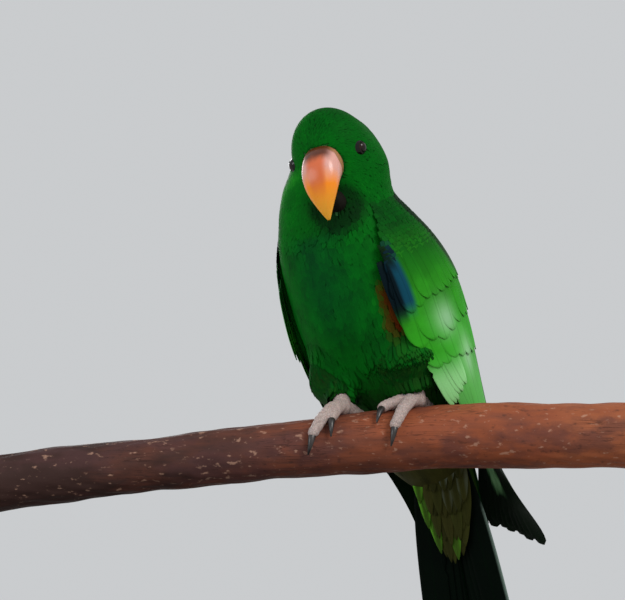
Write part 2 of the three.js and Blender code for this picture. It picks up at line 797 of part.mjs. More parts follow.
function leg({ at, hip: hipAt, thigh: radii, toes }) {
  const world = (p) => p.applyMatrix4(perchFrame.matrixWorld);
  const foot = world(onPerch(at, 0, TOE_RADII[0]));
  const hip = vec(...hipAt).applyMatrix4(trunk.matrixWorld);
  const ankle = foot.clone().add(hip.clone().sub(foot).setLength(ANKLE_UP));
  const knee = hip.clone().lerp(ankle, 0.55);
  const thighTube = (grow) =>
    solidOf(
      tube(
        [hip, knee, ankle],
        radii.map((r) => r + grow),
        12,
        4,
      ),
    );
  const thigh = largest(thighTube(0).subtract(fleshGrown).subtract(perchGrown));
  const tarsus = solidOf(tube([foot, ankle], [TOE_RADII[0] + 0.6, 4.4]));
  const toeSolids = toes.map((t) => toe(at, t));
  const footSolid = largest(
    join([tarsus, ...toeSolids]).subtract(thighTube(GAP)).subtract(fleshGrown).subtract(perchGrown),
  );
  const footRoom = join(toes.map((t) => toe(at, t, GAP)));
  const claws = toes.map((t) => largest(claw(at, t).subtract(footRoom).subtract(perchGrown)));
  const room = toes.flatMap((t) => [toe(at, t, 2.5 * GAP), claw(at, t, 2.5 * GAP)]);
  return { thigh, foot: footSolid, claws, room, thighRoom: thighTube(2 * GAP) };
}

// Stand
function standBase() {
  const [x, y, r] = [BASE_LENGTH / 2, BASE_DEPTH / 2, BASE_CORNER];
  const outline = new THREE.Shape();
  outline.absarc(x - r, y - r, r, 0, Math.PI / 2);
  outline.absarc(r - x, y - r, r, Math.PI / 2, Math.PI);
  outline.absarc(r - x, r - y, r, Math.PI, Math.PI * 1.5);
  outline.absarc(x - r, r - y, r, Math.PI * 1.5, Math.PI * 2);
  const bevel = 1.5;
  const plate = new THREE.ExtrudeGeometry(outline, {
    depth: BASE_HEIGHT - bevel,
    bevelSize: bevel,
    bevelThickness: bevel,
    bevelOffset: -bevel,
    bevelSegments: 1,
    curveSegments: 7,
  });
  const floor = halfSpace(vec(0, 0, 0), vec(0, 0, 1));
  return solidOf(plate).intersect(floor);
}

function standRod(x) {
  const bottom = BASE_HEIGHT + GAP;
  const height = PERCH_TOP;
  const rod = new THREE.CylinderGeometry(ROD_RADIUS, ROD_RADIUS, height, 20).rotateX(Math.PI / 2);
  const raised = rod.translate(x, 0, bottom + height / 2);
  const under = solidOf(raised).subtract(perchGrown);
  return under.decompose().reduce((a, b) => (b.boundingBox().min[2] < a.boundingBox().min[2] ? b : a));
}

// Colours
const colour = (hex, roughness = 0.7, metalness = 0) =>
  new THREE.MeshStandardMaterial({ color: hex, roughness, metalness, flatShading: true });
const GREEN = colour("#17803a");
const BRIGHT_GREEN = colour("#2fa52f");
const TAIL_BLACK = colour("#1d211c");
const BILL_ORANGE = colour("#f08a24", 0.35);
const BILL_BLACK = colour("#17130f", 0.4);
const EYE = colour("#1b0f08", 0.1);
const SKIN = colour("#b7a0a0", 0.8);
const CLAW = colour("#3a3432", 0.5);
const WOOD = colour("#8a4a33", 0.85);
const STAND = colour("#2b2b2d", 0.5);

// A world-space solid as a named mesh inside a frame
function add(place, name, solid, material) {
  const { vertProperties, triVerts } = solid.getMesh();
  const geometry = new THREE.BufferGeometry();
  geometry.setAttribute("position", new THREE.BufferAttribute(new Float32Array(vertProperties), 3));
  geometry.setIndex(new THREE.BufferAttribute(new Uint32Array(triVerts), 1));
  geometry.applyMatrix4(place.matrixWorld.clone().invert());
  geometry.computeVertexNormals();
  const mesh = new THREE.Mesh(geometry, material);
  mesh.name = name;
  place.add(mesh);
}

function build() {
  const cuts = fleshCuts();
  const eyes = { left: eyeParts(1), right: eyeParts(-1) };
  const sockets = join([eyes.left.socket, eyes.right.socket]);
  const lids = [eyes.left.lid, eyes.right.lid];
  const legs = FEET.map((foot) => ({ ...foot, ...leg(foot) }));
  const legRoom = join(legs.flatMap((l) => l.room));
  const thighRoom = join(legs.map((l) => l.thighRoom));
  const body = flesh.intersect(cuts.belowShoulder).subtract(perchGrown).subtract(legRoom);
  add(trunk, "torso", largest(body), GREEN);
  add(trunk, "neck", largest(flesh.intersect(cuts.aboveShoulder).intersect(cuts.beforeNape)), GREEN);
  const skull = flesh.intersect(cuts.aboveShoulder).intersect(cuts.beyondNape);
  add(head, "head", largest(join([skull, ...lids]).subtract(sockets)), GREEN);
  const upper = upperBill();
  const upperGrown = solidOf(billHalf({ ...UPPER_BILL, widths: UPPER_BILL.widths.map(([t, w]) => [t, w + GAP]) }), head);
  const lower = largest(solidOf(billHalf(LOWER_BILL), head).subtract(fleshGrown).subtract(upperGrown));
  add(head, "bill_upper", upper, BILL_ORANGE);
  add(head, "bill_lower", lower, BILL_BLACK);
  add(head, "eye_left", eyes.left.ball, EYE);
  add(head, "eye_right", eyes.right.ball, EYE);
  add(trunk, "wing_left", wing(1, 0, 4021, thighRoom), BRIGHT_GREEN);
  add(trunk, "wing_right", wing(-1, -0.34, 977, thighRoom), BRIGHT_GREEN);
  add(trunk, "tail", tail(6143), TAIL_BLACK);
  for (const { name, thigh, foot, claws } of legs) {
    add(bird, `thigh_${name}`, thigh, GREEN);
    add(perchFrame, `foot_${name}`, foot, SKIN);
    claws.forEach((solid, i) => add(perchFrame, `claw_${name}_${i + 1}`, solid, CLAW));
  }
  add(perchFrame, "perch", perch, WOOD);
  add(model, "stand_base", standBase(), STAND);
  add(model, "stand_rod_left", standRod(-ROD_SPACING / 2), STAND);
  add(model, "stand_rod_right", standRod(ROD_SPACING / 2), STAND);
}

build();

export default model;
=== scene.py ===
"""A male eclectus parrot perched on a cut length of branch, held by a plain display stand."""

import math

import bmesh
import bpy
import numpy as np
from bpy.props import FloatProperty, FloatVectorProperty, PointerProperty
from mathutils import Matrix, Vector
from mathutils.bvhtree import BVHTree
from mathutils.kdtree import KDTree


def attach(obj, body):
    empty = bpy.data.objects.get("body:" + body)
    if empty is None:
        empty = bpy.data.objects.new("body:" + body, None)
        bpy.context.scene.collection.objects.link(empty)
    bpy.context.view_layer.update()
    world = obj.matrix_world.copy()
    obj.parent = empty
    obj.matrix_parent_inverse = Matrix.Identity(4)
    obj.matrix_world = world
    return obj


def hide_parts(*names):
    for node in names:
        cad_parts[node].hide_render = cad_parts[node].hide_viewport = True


bl_info = {
    "name": "Perched Eclectus Parrot",
    "version": (1, 0, 0),
    "blender": (4, 5, 0),
    "location": "3D View > Sidebar > Parrot",
    "description": "Feathers, bill, eyes, feet and perch of a life-size parrot model",
    "category": "Add Mesh",
}

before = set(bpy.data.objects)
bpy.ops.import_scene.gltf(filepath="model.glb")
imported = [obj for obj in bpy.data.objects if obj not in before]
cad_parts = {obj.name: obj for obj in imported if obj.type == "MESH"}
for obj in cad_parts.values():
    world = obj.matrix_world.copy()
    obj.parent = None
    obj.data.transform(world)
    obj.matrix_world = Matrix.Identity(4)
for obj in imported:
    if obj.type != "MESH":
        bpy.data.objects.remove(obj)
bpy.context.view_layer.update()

MM = 0.001

# Pose and placing, in millimetres and degrees, as in the part's source
BIRD_X = 27
PERCH_TOP = 158
PERCH_TILT = 4.3
PERCH_LENGTH = 370
BODY_YAW = 35
BODY_LEAN = 28
TRUNK_AT = (-3.9, 14.4, 58)
HEAD_AT = (6.5, -6, 88)
HEAD_TURN = 12.5
HEAD_PITCH = 22
HEAD_ROLL = 6.5

# Perch along its length from where the bird stands: height, radius
PERCH = (
    (-215, -8, 15.2),
    (-160, -5, 14.2),
    (-110, -3.1, 13.7),
    (-66, -0.8, 14.2),
    (-30, -0.1, 15),
    (0, 0, 15.7),
    (40, -0.2, 16.6),
    (98, -3.5, 16.8),
    (160, -7.6, 17.2),
)
# Trunk along its axis: height, half width, breast depth, back depth, shift back, shift left
TRUNK = (
    (-112, 6, 4, 6, 12, 2),
    (-104, 16, 9, 14, 11, 2),
    (-93, 24, 14, 21, 8, 2),
    (-80, 29, 18, 27, 5, 1.5),
    (-64, 33, 20, 32, 2.5, 1.5),
    (-48, 37, 28, 35.5, 1, 1),
    (-30, 40.5, 37.5, 38, 0, 0.5),
    (-8, 42.8, 43.5, 40, -0.5, 0),
    (14, 42.8, 44, 40, -1.2, -0.6),
    (32, 40.6, 41.2, 38, -2.8, -1.8),
    (46, 37, 37.2, 34.5, -4.2, -3),
    (56, 33.2, 33.5, 31.6, -5.2, -3.2),
    (66, 29.8, 30, 28.5, -5.2, -2.8),
    (76, 25.6, 26, 26, -3.8, -1.6),
    (92, 12, 12, 12, 0, 2),
)
SKULL = ((0, 3, -3.2), (20.5, 25.6, 20.6))
JOWL = ((0, 0, -13), (23, 18.5, 15))
BROW = ((0, -11.1, 3.6), (17.5, 14.7, 18.3))
HEAD_BLEND = 12
BODY_BLEND = 13
THROAT = (6.5, -56, 48)
TRUNK_RUN = 158  # length of the straight stations
FAN_RUN = 95  # length of those that fan over the nape and the crown
FACE_RUN = 26  # length of those that close the face
FAN_TURN = 52
FACE_FAR = 45
FACE_RISE = 89.5  # degrees by which the rays close over the face

# Eyes, in the head frame
EYE_RADIUS = 4.2
EYE_PROUD = 1.3
EYE_FORWARD = 15.5
EYE_UP = -3
EYE_TURN = 22
PUPIL = (0.003, 0.002, 0.002)
EYE_RIM = (0.004, 0.003, 0.003)

# Bill outlines, forward and up, in the head frame
UPPER_TOP = ((16, 4.5), (36, 4.5), (43.5, -14), (35.5, -34.5))
UPPER_EDGE = ((11, -14), (22, -17), (30, -16), (34.8, -34.5))
UPPER_WIDTHS = ((0, 9), (0.2, 10.2), (0.45, 10), (0.62, 8.9), (0.76, 6.9), (0.88, 4.2))
UPPER_WIDTHS += ((0.96, 2), (1, 0.7))
LOWER_TOP = ((10, -17.4), (17, -19), (23, -19.6), (28, -21.4))
LOWER_EDGE = ((10, -31.5), (18, -34.5), (25, -34), (28.8, -26))
LOWER_WIDTHS = ((0, 6.8), (0.5, 6.6), (0.85, 4.9), (1, 2.8))
BILL_ROUND = 0.8  # below one the bill is boxier than an oval
NOSTRIL = (5.2, -22.8, 2.6)

# Wing guide surface: height, half width, breast depth, back depth, shift back, shift left
WING_GUIDE = (
    (-152, 70, 20, 26, 6, 0),
    (-124, 50, 20, 27, 5, 1.5),
    (-100, 40, 21, 30, 4, 2),
    (-86, 37.5, 22, 33, 3, 2),
    (-70, 38, 25, 35, 1.5, 1.5),
    (-50, 40, 32, 37, 0.5, 1),
    (-30, 41.8, 39, 39.5, 0, 0.5),
    (-10, 43, 43.6, 40.4, -0.5, 0),
    (12, 43, 44, 40.4, -1.1, -0.6),
    (30, 41.2, 41.8, 38.6, -2.6, -1.6),
    (44, 38, 38.2, 35.2, -4, -2.8),
    (58, 33.2, 33.4, 31.4, -5.2, -3.2),
)
WING_ROUND = 44
WING_SPLAY = {"left": 0, "right": -0.34}
SPLAY_FROM = 60

TAIL_AT = (8.5, 13, -90)
TAIL_DROP = 9
TAIL_LENGTH = 118

TOE_RADII = (4.1, 3.5, 3.2, 2.7)
TOE_SHARES = np.array([0, 0.35, 0.7, 1])
SHANK_RADII = (4.8, 4.5, 4.4)
LEGS = {
    "left": {
        "at": 27,
        "hip": (22, -20, -10),
        "thigh": ((0, 14), (0.55, 18.5), (1, 9)),
        "toes": ((-19, 34), (-14, 74), (10, -46), (2, -72)),
    },
    "right": {
        "at": -12,
        "hip": (-21, -16, -24),
        "thigh": ((0, 13), (0.55, 17.5), (1, 7.5)),
        "toes": ((-6, 50), (-16, 76), (13, -44), (5, -70)),
    },
}
CLAW_LENGTH = 9
CLAW_RADII = (2, 1.7, 1.1, 0.45)
ANKLE_UP = 9
DOME_RISES = (25, 50, 72)  # degrees, rings that close the end of a toe or a claw

FULL_TURN = 2 * math.pi
RAY_LENGTH = 70
RAY_HALVINGS = 22
FAR = 99.0  # stands for out of reach


# Numbers


def between(table, at):
    """Values between the rows of a table whose first column rises, on a smooth curve."""
    rows = np.asarray(table, float)
    x = np.clip(np.asarray(at, float), rows[0, 0], rows[-1, 0])
    i = np.clip(np.searchsorted(rows[:, 0], x, side="left") - 1, 0, len(rows) - 2)
    a, b = rows[i], rows[i + 1]
    before, after = rows[np.maximum(i - 1, 0)], rows[np.minimum(i + 2, len(rows) - 1)]
    span = (b - a)[..., :1]
    t = (x - a[..., 0])[..., None] / span
    slope_a = (b - before) / (b - before)[..., :1] * span
    slope_b = (after - a) / (after - a)[..., :1] * span
    t2, t3 = t * t, t * t * t
    found = a * (2 * t3 - 3 * t2 + 1) + slope_a * (t3 - 2 * t2 + t)
    found = found + b * (3 * t2 - 2 * t3) + slope_b * (t3 - t2)
    return found[..., 1:]


def mix(a, b, share):
    return a + (b - a) * share


def ease(low, high, at):
    """Nought below low, one above high, and smooth in between."""
    t = np.clip((np.asarray(at, float) - low) / (high - low), 0, 1)
    return t * t * (3 - 2 * t)


def band(at, low, full, wane, high):
    """One from full to wane, and nought below low and above high."""
    return ease(low, full, at) * (1 - ease(wane, high, at))


def hill(at, top, width):
    """One at the top, falling off smoothly over about that width."""
    return np.exp(-(((at - top) / width) ** 2))


def round_angles(count):
    """Angles in equal steps once round."""
    return np.linspace(0, FULL_TURN, count, endpoint=False)


def from_breast(turn):
    """Signed degrees round the body from the breast, above nought on the bird's left."""
    return (np.degrees(turn) + 180) % 360 - 180


def unit(v):
    return v / np.maximum(np.linalg.norm(v, axis=-1, keepdims=True), 1e-9)


def turned(axis, degrees):
    return np.array(Matrix.Rotation(math.radians(degrees), 4, axis))


def shifted(at):
    return np.array(Matrix.Translation(at))


def carry(matrix, points):
    return np.asarray(points, float) @ matrix[:3, :3].T + matrix[:3, 3]


def bezier(points, t):
    p, t = np.asarray(points, float), np.asarray(t, float)[:, None]
    s = 1 - t
    return s**3 * p[0] + 3 * s**2 * t * p[1] + 3 * s * t**2 * p[2] + t**3 * p[3]


def wander(points, size, seed):
    """A smooth value from -1 to 1 that changes over about that size, from a few waves."""
    rng = np.random.default_rng(seed)
    total = 0
    for _ in range(5):
        wave = points @ unit(rng.normal(size=3)) * (FULL_TURN / size)
        total = total + np.sin(wave * rng.uniform(0.7, 1.5) + rng.uniform(0, 6.3))
    return total / 3


PERCH_FRAME = shifted((BIRD_X, 0, PERCH_TOP - between(PERCH, 0)[1])) @ turned("Y", -PERCH_TILT)
BIRD_FRAME = shifted((BIRD_X, 0, PERCH_TOP)) @ turned("Z", -BODY_YAW)
TRUNK_FRAME = BIRD_FRAME @ shifted(TRUNK_AT) @ turned("X", BODY_LEAN)
HEAD_PLACE = carry(np.linalg.inv(BIRD_FRAME) @ TRUNK_FRAME, HEAD_AT)
HEAD_FRAME = BIRD_FRAME @ shifted(HEAD_PLACE) @ turned("Z", HEAD_TURN)
HEAD_FRAME = HEAD_FRAME @ turned("X", HEAD_PITCH) @ turned("Y", -HEAD_ROLL)
TRUNK_TO_HEAD = np.linalg.inv(HEAD_FRAME) @ TRUNK_FRAME
HEAD_TO_TRUNK = np.linalg.inv(TRUNK_TO_HEAD)
TRUNK_TO_PERCH = np.linalg.inv(PERCH_FRAME) @ TRUNK_FRAME
TAIL_FRAME = TRUNK_FRAME @ shifted(TAIL_AT) @ turned("X", -TAIL_DROP)


# The body's surface


def ellipsoid_field(p, ball):
    half = np.array(ball[1], float)
    q = p - np.array(ball[0], float)
    near = np.linalg.norm(q / half, axis=-1)
    slope = np.linalg.norm(q / half**2, axis=-1)
    return near * (near - 1) / np.maximum(slope, 1e-9)


def soften(a, b, reach):
    h = np.maximum(reach - np.abs(a - b), 0) / reach
    return np.minimum(a, b) - h * h * reach / 4


def trunk_field(p):
    width, breast, back, shift, sway = np.moveaxis(between(TRUNK, p[..., 2]), -1, 0)
    x, y = p[..., 0] - sway, p[..., 1] - shift
    depth = np.where(y < 0, breast, back)
    near = np.hypot(x / width, y / depth)
    side = near * (near - 1) / np.maximum(np.hypot(x / width**2, y / depth**2), 1e-9)
    past = np.maximum(TRUNK[0][0] - p[..., 2], p[..., 2] - TRUNK[-1][0])
    return np.where(past > 0, np.hypot(np.maximum(side, 0), np.maximum(past, 0)), side)


def body_field(p):
    q = carry(TRUNK_TO_HEAD, p)
    face = soften(ellipsoid_field(q, SKULL), ellipsoid_field(q, JOWL), HEAD_BLEND)
    face = soften(face, ellipsoid_field(q, BROW), HEAD_BLEND)
    return soften(trunk_field(p), face, BODY_BLEND)


def ray_out(start, direction, grow):
    """Where rays from inside leave the body, grown by some clearance."""
    inside, outside = np.zeros(start.shape[:-1]), np.full(start.shape[:-1], float(RAY_LENGTH))
    for _ in range(RAY_HALVINGS):
        middle = (inside + outside) / 2
        within = body_field(start + direction * middle[..., None]) < grow
        inside, outside = np.where(within, middle, inside), np.where(within, outside, middle)
    return start + direction * inside[..., None]


def body_at(run, turn, grow=0.0):
    """The body's surface by the distance from the tail end and the angle from the breast."""
    run, turn = np.broadcast_arrays(np.asarray(run, float), np.asarray(turn, float))
    low = TRUNK[0][0]
    height = np.clip(run + low, low, low + TRUNK_RUN)
    rows = between(TRUNK, height)
    start = np.stack([rows[..., 4], rows[..., 3], height], -1)
    neck = between(TRUNK, low + TRUNK_RUN)
    share = np.clip((run - TRUNK_RUN) / FAN_RUN, 0, 1)
    fan = np.radians(FAN_TURN) * share
    far = mix(neck[3] - THROAT[1], FACE_FAR, share**1.5)
    zero = np.zeros_like(fan)
    inward = np.stack([zero, -np.cos(fan), -np.sin(fan)], -1)
    along = np.stack([zero, -np.sin(fan), np.cos(fan)], -1)
    pivot = np.stack([mix(neck[4], THROAT[0], share), zero + THROAT[1], zero + THROAT[2]], -1)
    start = np.where(share[..., None] > 0, pivot - inward * far[..., None], start)
    rise = np.radians(FACE_RISE) * np.clip((run - TRUNK_RUN - FAN_RUN) / FACE_RUN, 0, 1)
    left = np.array([1.0, 0, 0])
    out = inward * np.cos(turn)[..., None] + left * np.sin(turn)[..., None]
    out = out * np.cos(rise)[..., None] + along * np.sin(rise)[..., None]
    return ray_out(start, out, grow)


def on_perch(x, turn, clear):
    """A point over the perch: along it, degrees round it towards the bird's front, clearance."""
    x, a = np.broadcast_arrays(np.asarray(x, float), np.radians(np.asarray(turn, float)))
    height, radius = np.moveaxis(between(PERCH, x), -1, 0)
    rough = 0.4 * np.sin(x * 0.035 + a) + 0.3 * np.sin(x * 0.083 + 2 * a + 1.3)
    out = radius + rough + clear
    return np.stack([x, -out * np.sin(a), height + out * np.cos(a)], -1)


def perch_depth(p):
    """How far points in the perch's frame are outside its surface."""
    height, radius = np.moveaxis(between(PERCH, p[..., 0]), -1, 0)
    return np.hypot(p[..., 1], p[..., 2] - height) - radius


# Meshes


def link(obj):
    bpy.context.scene.collection.objects.link(obj)
    return obj


def new_piece(name, points, faces, finish, smooth=True):
    """A mesh object from points in millimetres in the model's frame."""
    mesh = bpy.data.meshes.new(name)
    mesh.from_pydata((np.asarray(points) * MM).tolist(), [], [list(map(int, f)) for f in faces])
    mesh.validate()
    if smooth:
        mesh.shade_smooth()
    mesh.materials.append(finish)
    return link(bpy.data.objects.new(name, mesh))


def lay_uv(mesh, name, per_point):
    """A UV map from one pair of numbers for each vertex."""
    layer = mesh.uv_layers.new(name=name)
    index = np.empty(len(mesh.loops), np.int32)
    mesh.loops.foreach_get("vertex_index", index)
    layer.data.foreach_set("uv", np.asarray(per_point, np.float32)[index].ravel())


def mark(mesh, name, values):
    """A named number or vector on each vertex, which the finishes read."""
    values = np.asarray(values, np.float32)
    kind, field = ("FLOAT_VECTOR", "vector") if values.ndim == 2 else ("FLOAT", "value")
    mesh.attributes.new(name, kind, "POINT").data.foreach_set(field, values.ravel())


def grid_faces(rows, columns, start=0, closed=False):
    r = np.arange(rows - 1)[:, None]
    c = np.arange(columns if closed else columns - 1)[None, :]
    a = start + r * columns + c
    b = start + r * columns + (c + 1) % columns
    return np.stack([a, b, b + columns, a + columns], -1).reshape(-1, 4)


def loft(rings):
    """Points and faces of rings of equally many points, closed at both ends on a middle point."""
    rings = np.asarray(rings, float)
    rows, columns = rings.shape[:2]
    points = np.vstack([rings.reshape(-1, 3), rings[0].mean(0), rings[-1].mean(0)])
    faces = [tuple(f) for f in grid_faces(rows, columns, 0, True)]
    first, last = rows * columns, rows * columns + 1
    for k in range(columns):
        after = (k + 1) % columns
        faces.append((first, after, k))
        faces.append((last, (rows - 1) * columns + k, (rows - 1) * columns + after))
    return points, faces


def outward(obj):
    """Recalculates a closed mesh's faces to point out."""
    bm = bmesh.new()
    bm.from_mesh(obj.data)
    bmesh.ops.recalc_face_normals(bm, faces=bm.faces)
    bm.to_mesh(obj.data)
    bm.free()
    return obj


def frames_along(path):
    """Directions across a path that turn as little as they can."""
    tangent = unit(np.gradient(path, axis=0))
    side = np.zeros_like(path)
    side[0] = unit(np.cross(tangent[0], (0.3, 0.5, 0.81)))
    for i in range(1, len(path)):
        side[i] = unit(side[i - 1] - tangent[i] * (side[i - 1] @ tangent[i]))
    return tangent, side, np.cross(tangent, side)


def smooth_path(points, steps):
    """A smooth curve through points, evenly stepped."""
    points = np.asarray(points, float)
    knots = np.column_stack([np.linspace(0, 1, len(points)), points])
    fine = between(knots, np.linspace(0, 1, steps * 6))
    length = np.concatenate([[0], np.cumsum(np.linalg.norm(np.diff(fine, axis=0), axis=1))])
    at = np.linspace(0, length[-1], steps)
    return np.stack([np.interp(at, length, fine[:, k]) for k in range(3)], -1)


def tube_rings(points, radii, steps, sides, relief=None):
    """Rings of a tube with domed ends; relief adds to the radius by share along and angle."""
    path = smooth_path(points, steps)
    tangent, side, other = frames_along(path)
    t, angle = np.linspace(0, 1, steps), round_angles(sides)
    radius = between(np.column_stack([np.linspace(0, 1, len(radii)), radii]), t)[:, 0]
    grown = radius[:, None] + (relief(t[:, None], angle[None, :]) if relief else 0)
    across = side[:, None] * (np.cos(angle) * grown)[..., None]
    rings = path[:, None] + across + other[:, None] * (np.sin(angle) * grown)[..., None]
    caps = []
    for end, sign in ((0, -1), (-1, 1)):
        dome = []
        for rise in DOME_RISES:
            ahead = tangent[end] * sign * radius[end] * math.sin(math.radians(rise))
            dome.append(path[end] + ahead + (rings[end] - path[end]) * math.cos(math.radians(rise)))
        caps.append(dome)
    return np.concatenate([np.array(caps[0])[::-1], rings, np.array(caps[1])])


def join_points(parts):
    """Several meshes of points and faces as one."""
    points, faces, start = [], [], 0
    for p, f in parts:
        points.append(np.asarray(p))
        faces.extend(tuple(int(i) + start for i in face) for face in f)
        start += len(p)
    return np.vstack(points), faces


def settle(obj):
    """Replaces an object's mesh by what its modifiers make of it."""
    graph = bpy.context.evaluated_depsgraph_get()
    made = bpy.data.meshes.new_from_object(obj.evaluated_get(graph), depsgraph=graph)
    obj.modifiers.clear()
    old, name = obj.data, obj.data.name
    obj.data = made
    bpy.data.meshes.remove(old)
    made.name = name
    return obj


def read_points(mesh):
    flat = np.empty(len(mesh.vertices) * 3, np.float32)
    mesh.vertices.foreach_get("co", flat)
    return flat.reshape(-1, 3).astype(float) / MM


def finish_piece(obj, slot, *nodes):
    """Sets a piece on the model's root body and hides the nodes it stands for; its slot is not
    used.
    """
    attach(obj, "root")
    if nodes:
        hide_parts(*nodes)
    return obj


def closed_piece(name, place, made, finish, slot, *nodes, **marks):
    """A closed piece from points and faces in a frame, with the marks that its finish reads."""
    points, faces = made
    obj = new_piece(name, carry(place, points), faces, finish)
    for label, values in marks.items():
        mark(obj.data, label, values)
    return finish_piece(outward(obj), slot, *nodes)


def fused_piece(name, place, parts, size, rounds, finish, slot, *nodes):
    """Parts that overlap, fused into one closed skin of that fineness and smoothed."""
    points, faces = join_points(parts)
    obj = outward(new_piece(name, carry(place, points), faces, finish))
    fuse = obj.modifiers.new("fuse", "REMESH")
    fuse.mode = "VOXEL"
    fuse.voxel_size = size * MM
    relax = obj.modifiers.new("relax", "SMOOTH")
    relax.iterations = rounds
    relax.factor = 0.5
    settle(obj)
    obj.data.shade_smooth()
    obj.data.materials.clear()
    obj.data.materials.append(finish)
    return finish_piece(obj, slot, *nodes)


# Finishes


class Value:
    """A number on a node's socket: arithmetic on it adds Math nodes."""

    def __init__(self, finish, socket):
        self.finish = finish
        self.socket = socket

    def _math(self, operation, *values):
        return self.finish.node("ShaderNodeMath", {"operation": operation}, values)

    def __add__(self, other):
        return self._math("ADD", self, other)

    def __sub__(self, other):
        return self._math("SUBTRACT", self, other)

    def __rsub__(self, other):
        return self._math("SUBTRACT", other, self)

    def __mul__(self, other):
        return self._math("MULTIPLY", self, other)

    __radd__ = __add__
    __rmul__ = __mul__

    def size(self):
        return self._math("ABSOLUTE", self)

    def wave(self):
        return self._math("SINE", self)

    def ramp(self, low, high):
        """Nought below low, one above high, smooth in between."""
        settings = {"interpolation_type": "SMOOTHSTEP"}
        inputs = {"Value": self, "From Min": low, "From Max": high}
        return self.finish.node("ShaderNodeMapRange", settings, inputs)


class Finish:
    """A procedural material under construction."""

    def __init__(self, name, **constants):
        self.material = bpy.data.materials.new(name)
        self.material.use_nodes = True
        self.tree = self.material.node_tree
        self.tree.nodes.clear()
        self.shader = self.tree.nodes.new("ShaderNodeBsdfPrincipled")
        output = self.tree.nodes.new("ShaderNodeOutputMaterial")
        self.tree.links.new(self.shader.outputs[0], output.inputs[0])
        self.drive(**constants)

    def feed(self, socket, value):
        if isinstance(value, Value):
            self.tree.links.new(value.socket, socket)
        elif hasattr(value, "__len__"):
            room = len(socket.default_value)
            socket.default_value = (tuple(value) + (1.0,))[:room]
        else:
            socket.default_value = value

    def node(self, kind, settings=None, inputs=(), output=0):
        """Any node: its settings first, then the values or links of its sockets."""
        made = self.tree.nodes.new(kind)
        for key, value in (settings or {}).items():
            if key == "stops":
                self.set_stops(made.color_ramp, value)
            else:
                setattr(made, key, value)
        pairs = inputs.items() if isinstance(inputs, dict) else enumerate(inputs)
        for key, value in pairs:
            self.feed(made.inputs[key], value)
        return Value(self, made.outputs[output])

    @staticmethod
    def set_stops(ramp, stops):
        while len(ramp.elements) < len(stops):
            ramp.elements.new(1.0)
        for element, (at, colour) in zip(ramp.elements, stops):
            element.position = at
            element.color = (*colour[:3], 1.0)

    def shades(self, at, *stops):
        """Colours by a number, from stops of a number and a colour."""
        return self.node("ShaderNodeValToRGB", {"stops": stops}, [at])

    def mark(self, name, output="Fac"):
        return self.node("ShaderNodeAttribute", {"attribute_name": name}, output=output)

    def place(self):
        return self.node("ShaderNodeTexCoord", output="Object")

    def split(self, vector):
        outputs = self.node("ShaderNodeSeparateXYZ", {}, [vector]).socket.node.outputs
        return [Value(self, outputs[k]) for k in range(3)]

    def noise(self, vector, scale, detail, roughness=0.55):
        """Soft noise, stretched where scale has a number for each axis."""
        if isinstance(scale, tuple):
            vector = self.node("ShaderNodeMapping", {}, {"Vector": vector, "Scale": scale})
            scale = 1.0
        inputs = {"Vector": vector, "Scale": scale, "Detail": detail, "Roughness": roughness}
        return self.node("ShaderNodeTexNoise", {}, inputs)

    def cells(self, vector, scale):
        """How far a place is from the edge of its cell."""
        settings = {"feature": "DISTANCE_TO_EDGE"}
        return self.node("ShaderNodeTexVoronoi", settings, {"Vector": vector, "Scale": scale})

    def blend(self, a, b, share):
        return self.node("ShaderNodeMix", {"data_type": "RGBA"}, {0: share, 6: a, 7: b}, 2)

    def bump(self, height, strength, distance):
        inputs = {"Height": height, "Strength": strength, "Distance": distance * MM}
        return self.node("ShaderNodeBump", {}, inputs, "Normal")

    def soften(self, normal, share):
        """Turns a normal towards the smooth one on the vertices: shading follows the form."""
        inputs = {0: share, 4: normal, 5: self.mark("soft", "Vector")}
        turned_to = self.node("ShaderNodeMix", {"data_type": "VECTOR"}, inputs, 1)
        return self.node("ShaderNodeVectorMath", {"operation": "NORMALIZE"}, [turned_to])

    def drive(self, **sockets):
        for name, value in sockets.items():
            self.feed(self.shader.inputs[name.replace("_", " ")], value)
        return self.material


def vane_lines(finish, spacing):
    """Barbs that run slantwise off a feather's shaft, and the shares across and along it."""
    across, along, _ = finish.split(finish.node("ShaderNodeUVMap", {"uv_map": "Vane"}))
    width, length, _ = finish.split(finish.mark("size", "Vector"))
    aside = (across - 0.5).size() * width
    travel = (along * length - aside * BARB_SLANT) * (FULL_TURN / spacing)
    return travel.wave() * 0.5 + 0.5, across, along


def plumage_finish(name, colours, spacing, gloss, softness):
    """Feathers: each vertex carries its share of every colour, and barbs give the fine relief."""
    finish = Finish(name, Specular_IOR_Level=0.02)
    barbs, across, along = vane_lines(finish, spacing)
    mottle = finish.noise(finish.place(), 90, 4)
    tone = finish.mark("tone") + (mottle - 0.5) * 0.3 + (barbs - 0.5) * 0.06
    greens = (colours.shade, colours.deep, colours.green, colours.bright)
    colour = finish.shades(tone + (along - 0.6) * 0.12, *zip((0.0, 0.33, 0.66, 1.0), greens))
    for label in MARKS[1:]:
        colour = finish.blend(colour, getattr(colours, label), finish.mark(label))
    shaft = 1 - (across - 0.5).size().ramp(0.0, 0.035)
    colour = finish.blend(colour, colours.shade, shaft * 0.25)
    relief = finish.soften(finish.bump(barbs * 0.5 + mottle * 0.35, 0.3, 0.2), softness)
    return finish.drive(Base_Color=colour, Roughness=gloss + (mottle - 0.5) * 0.2, Normal=relief)


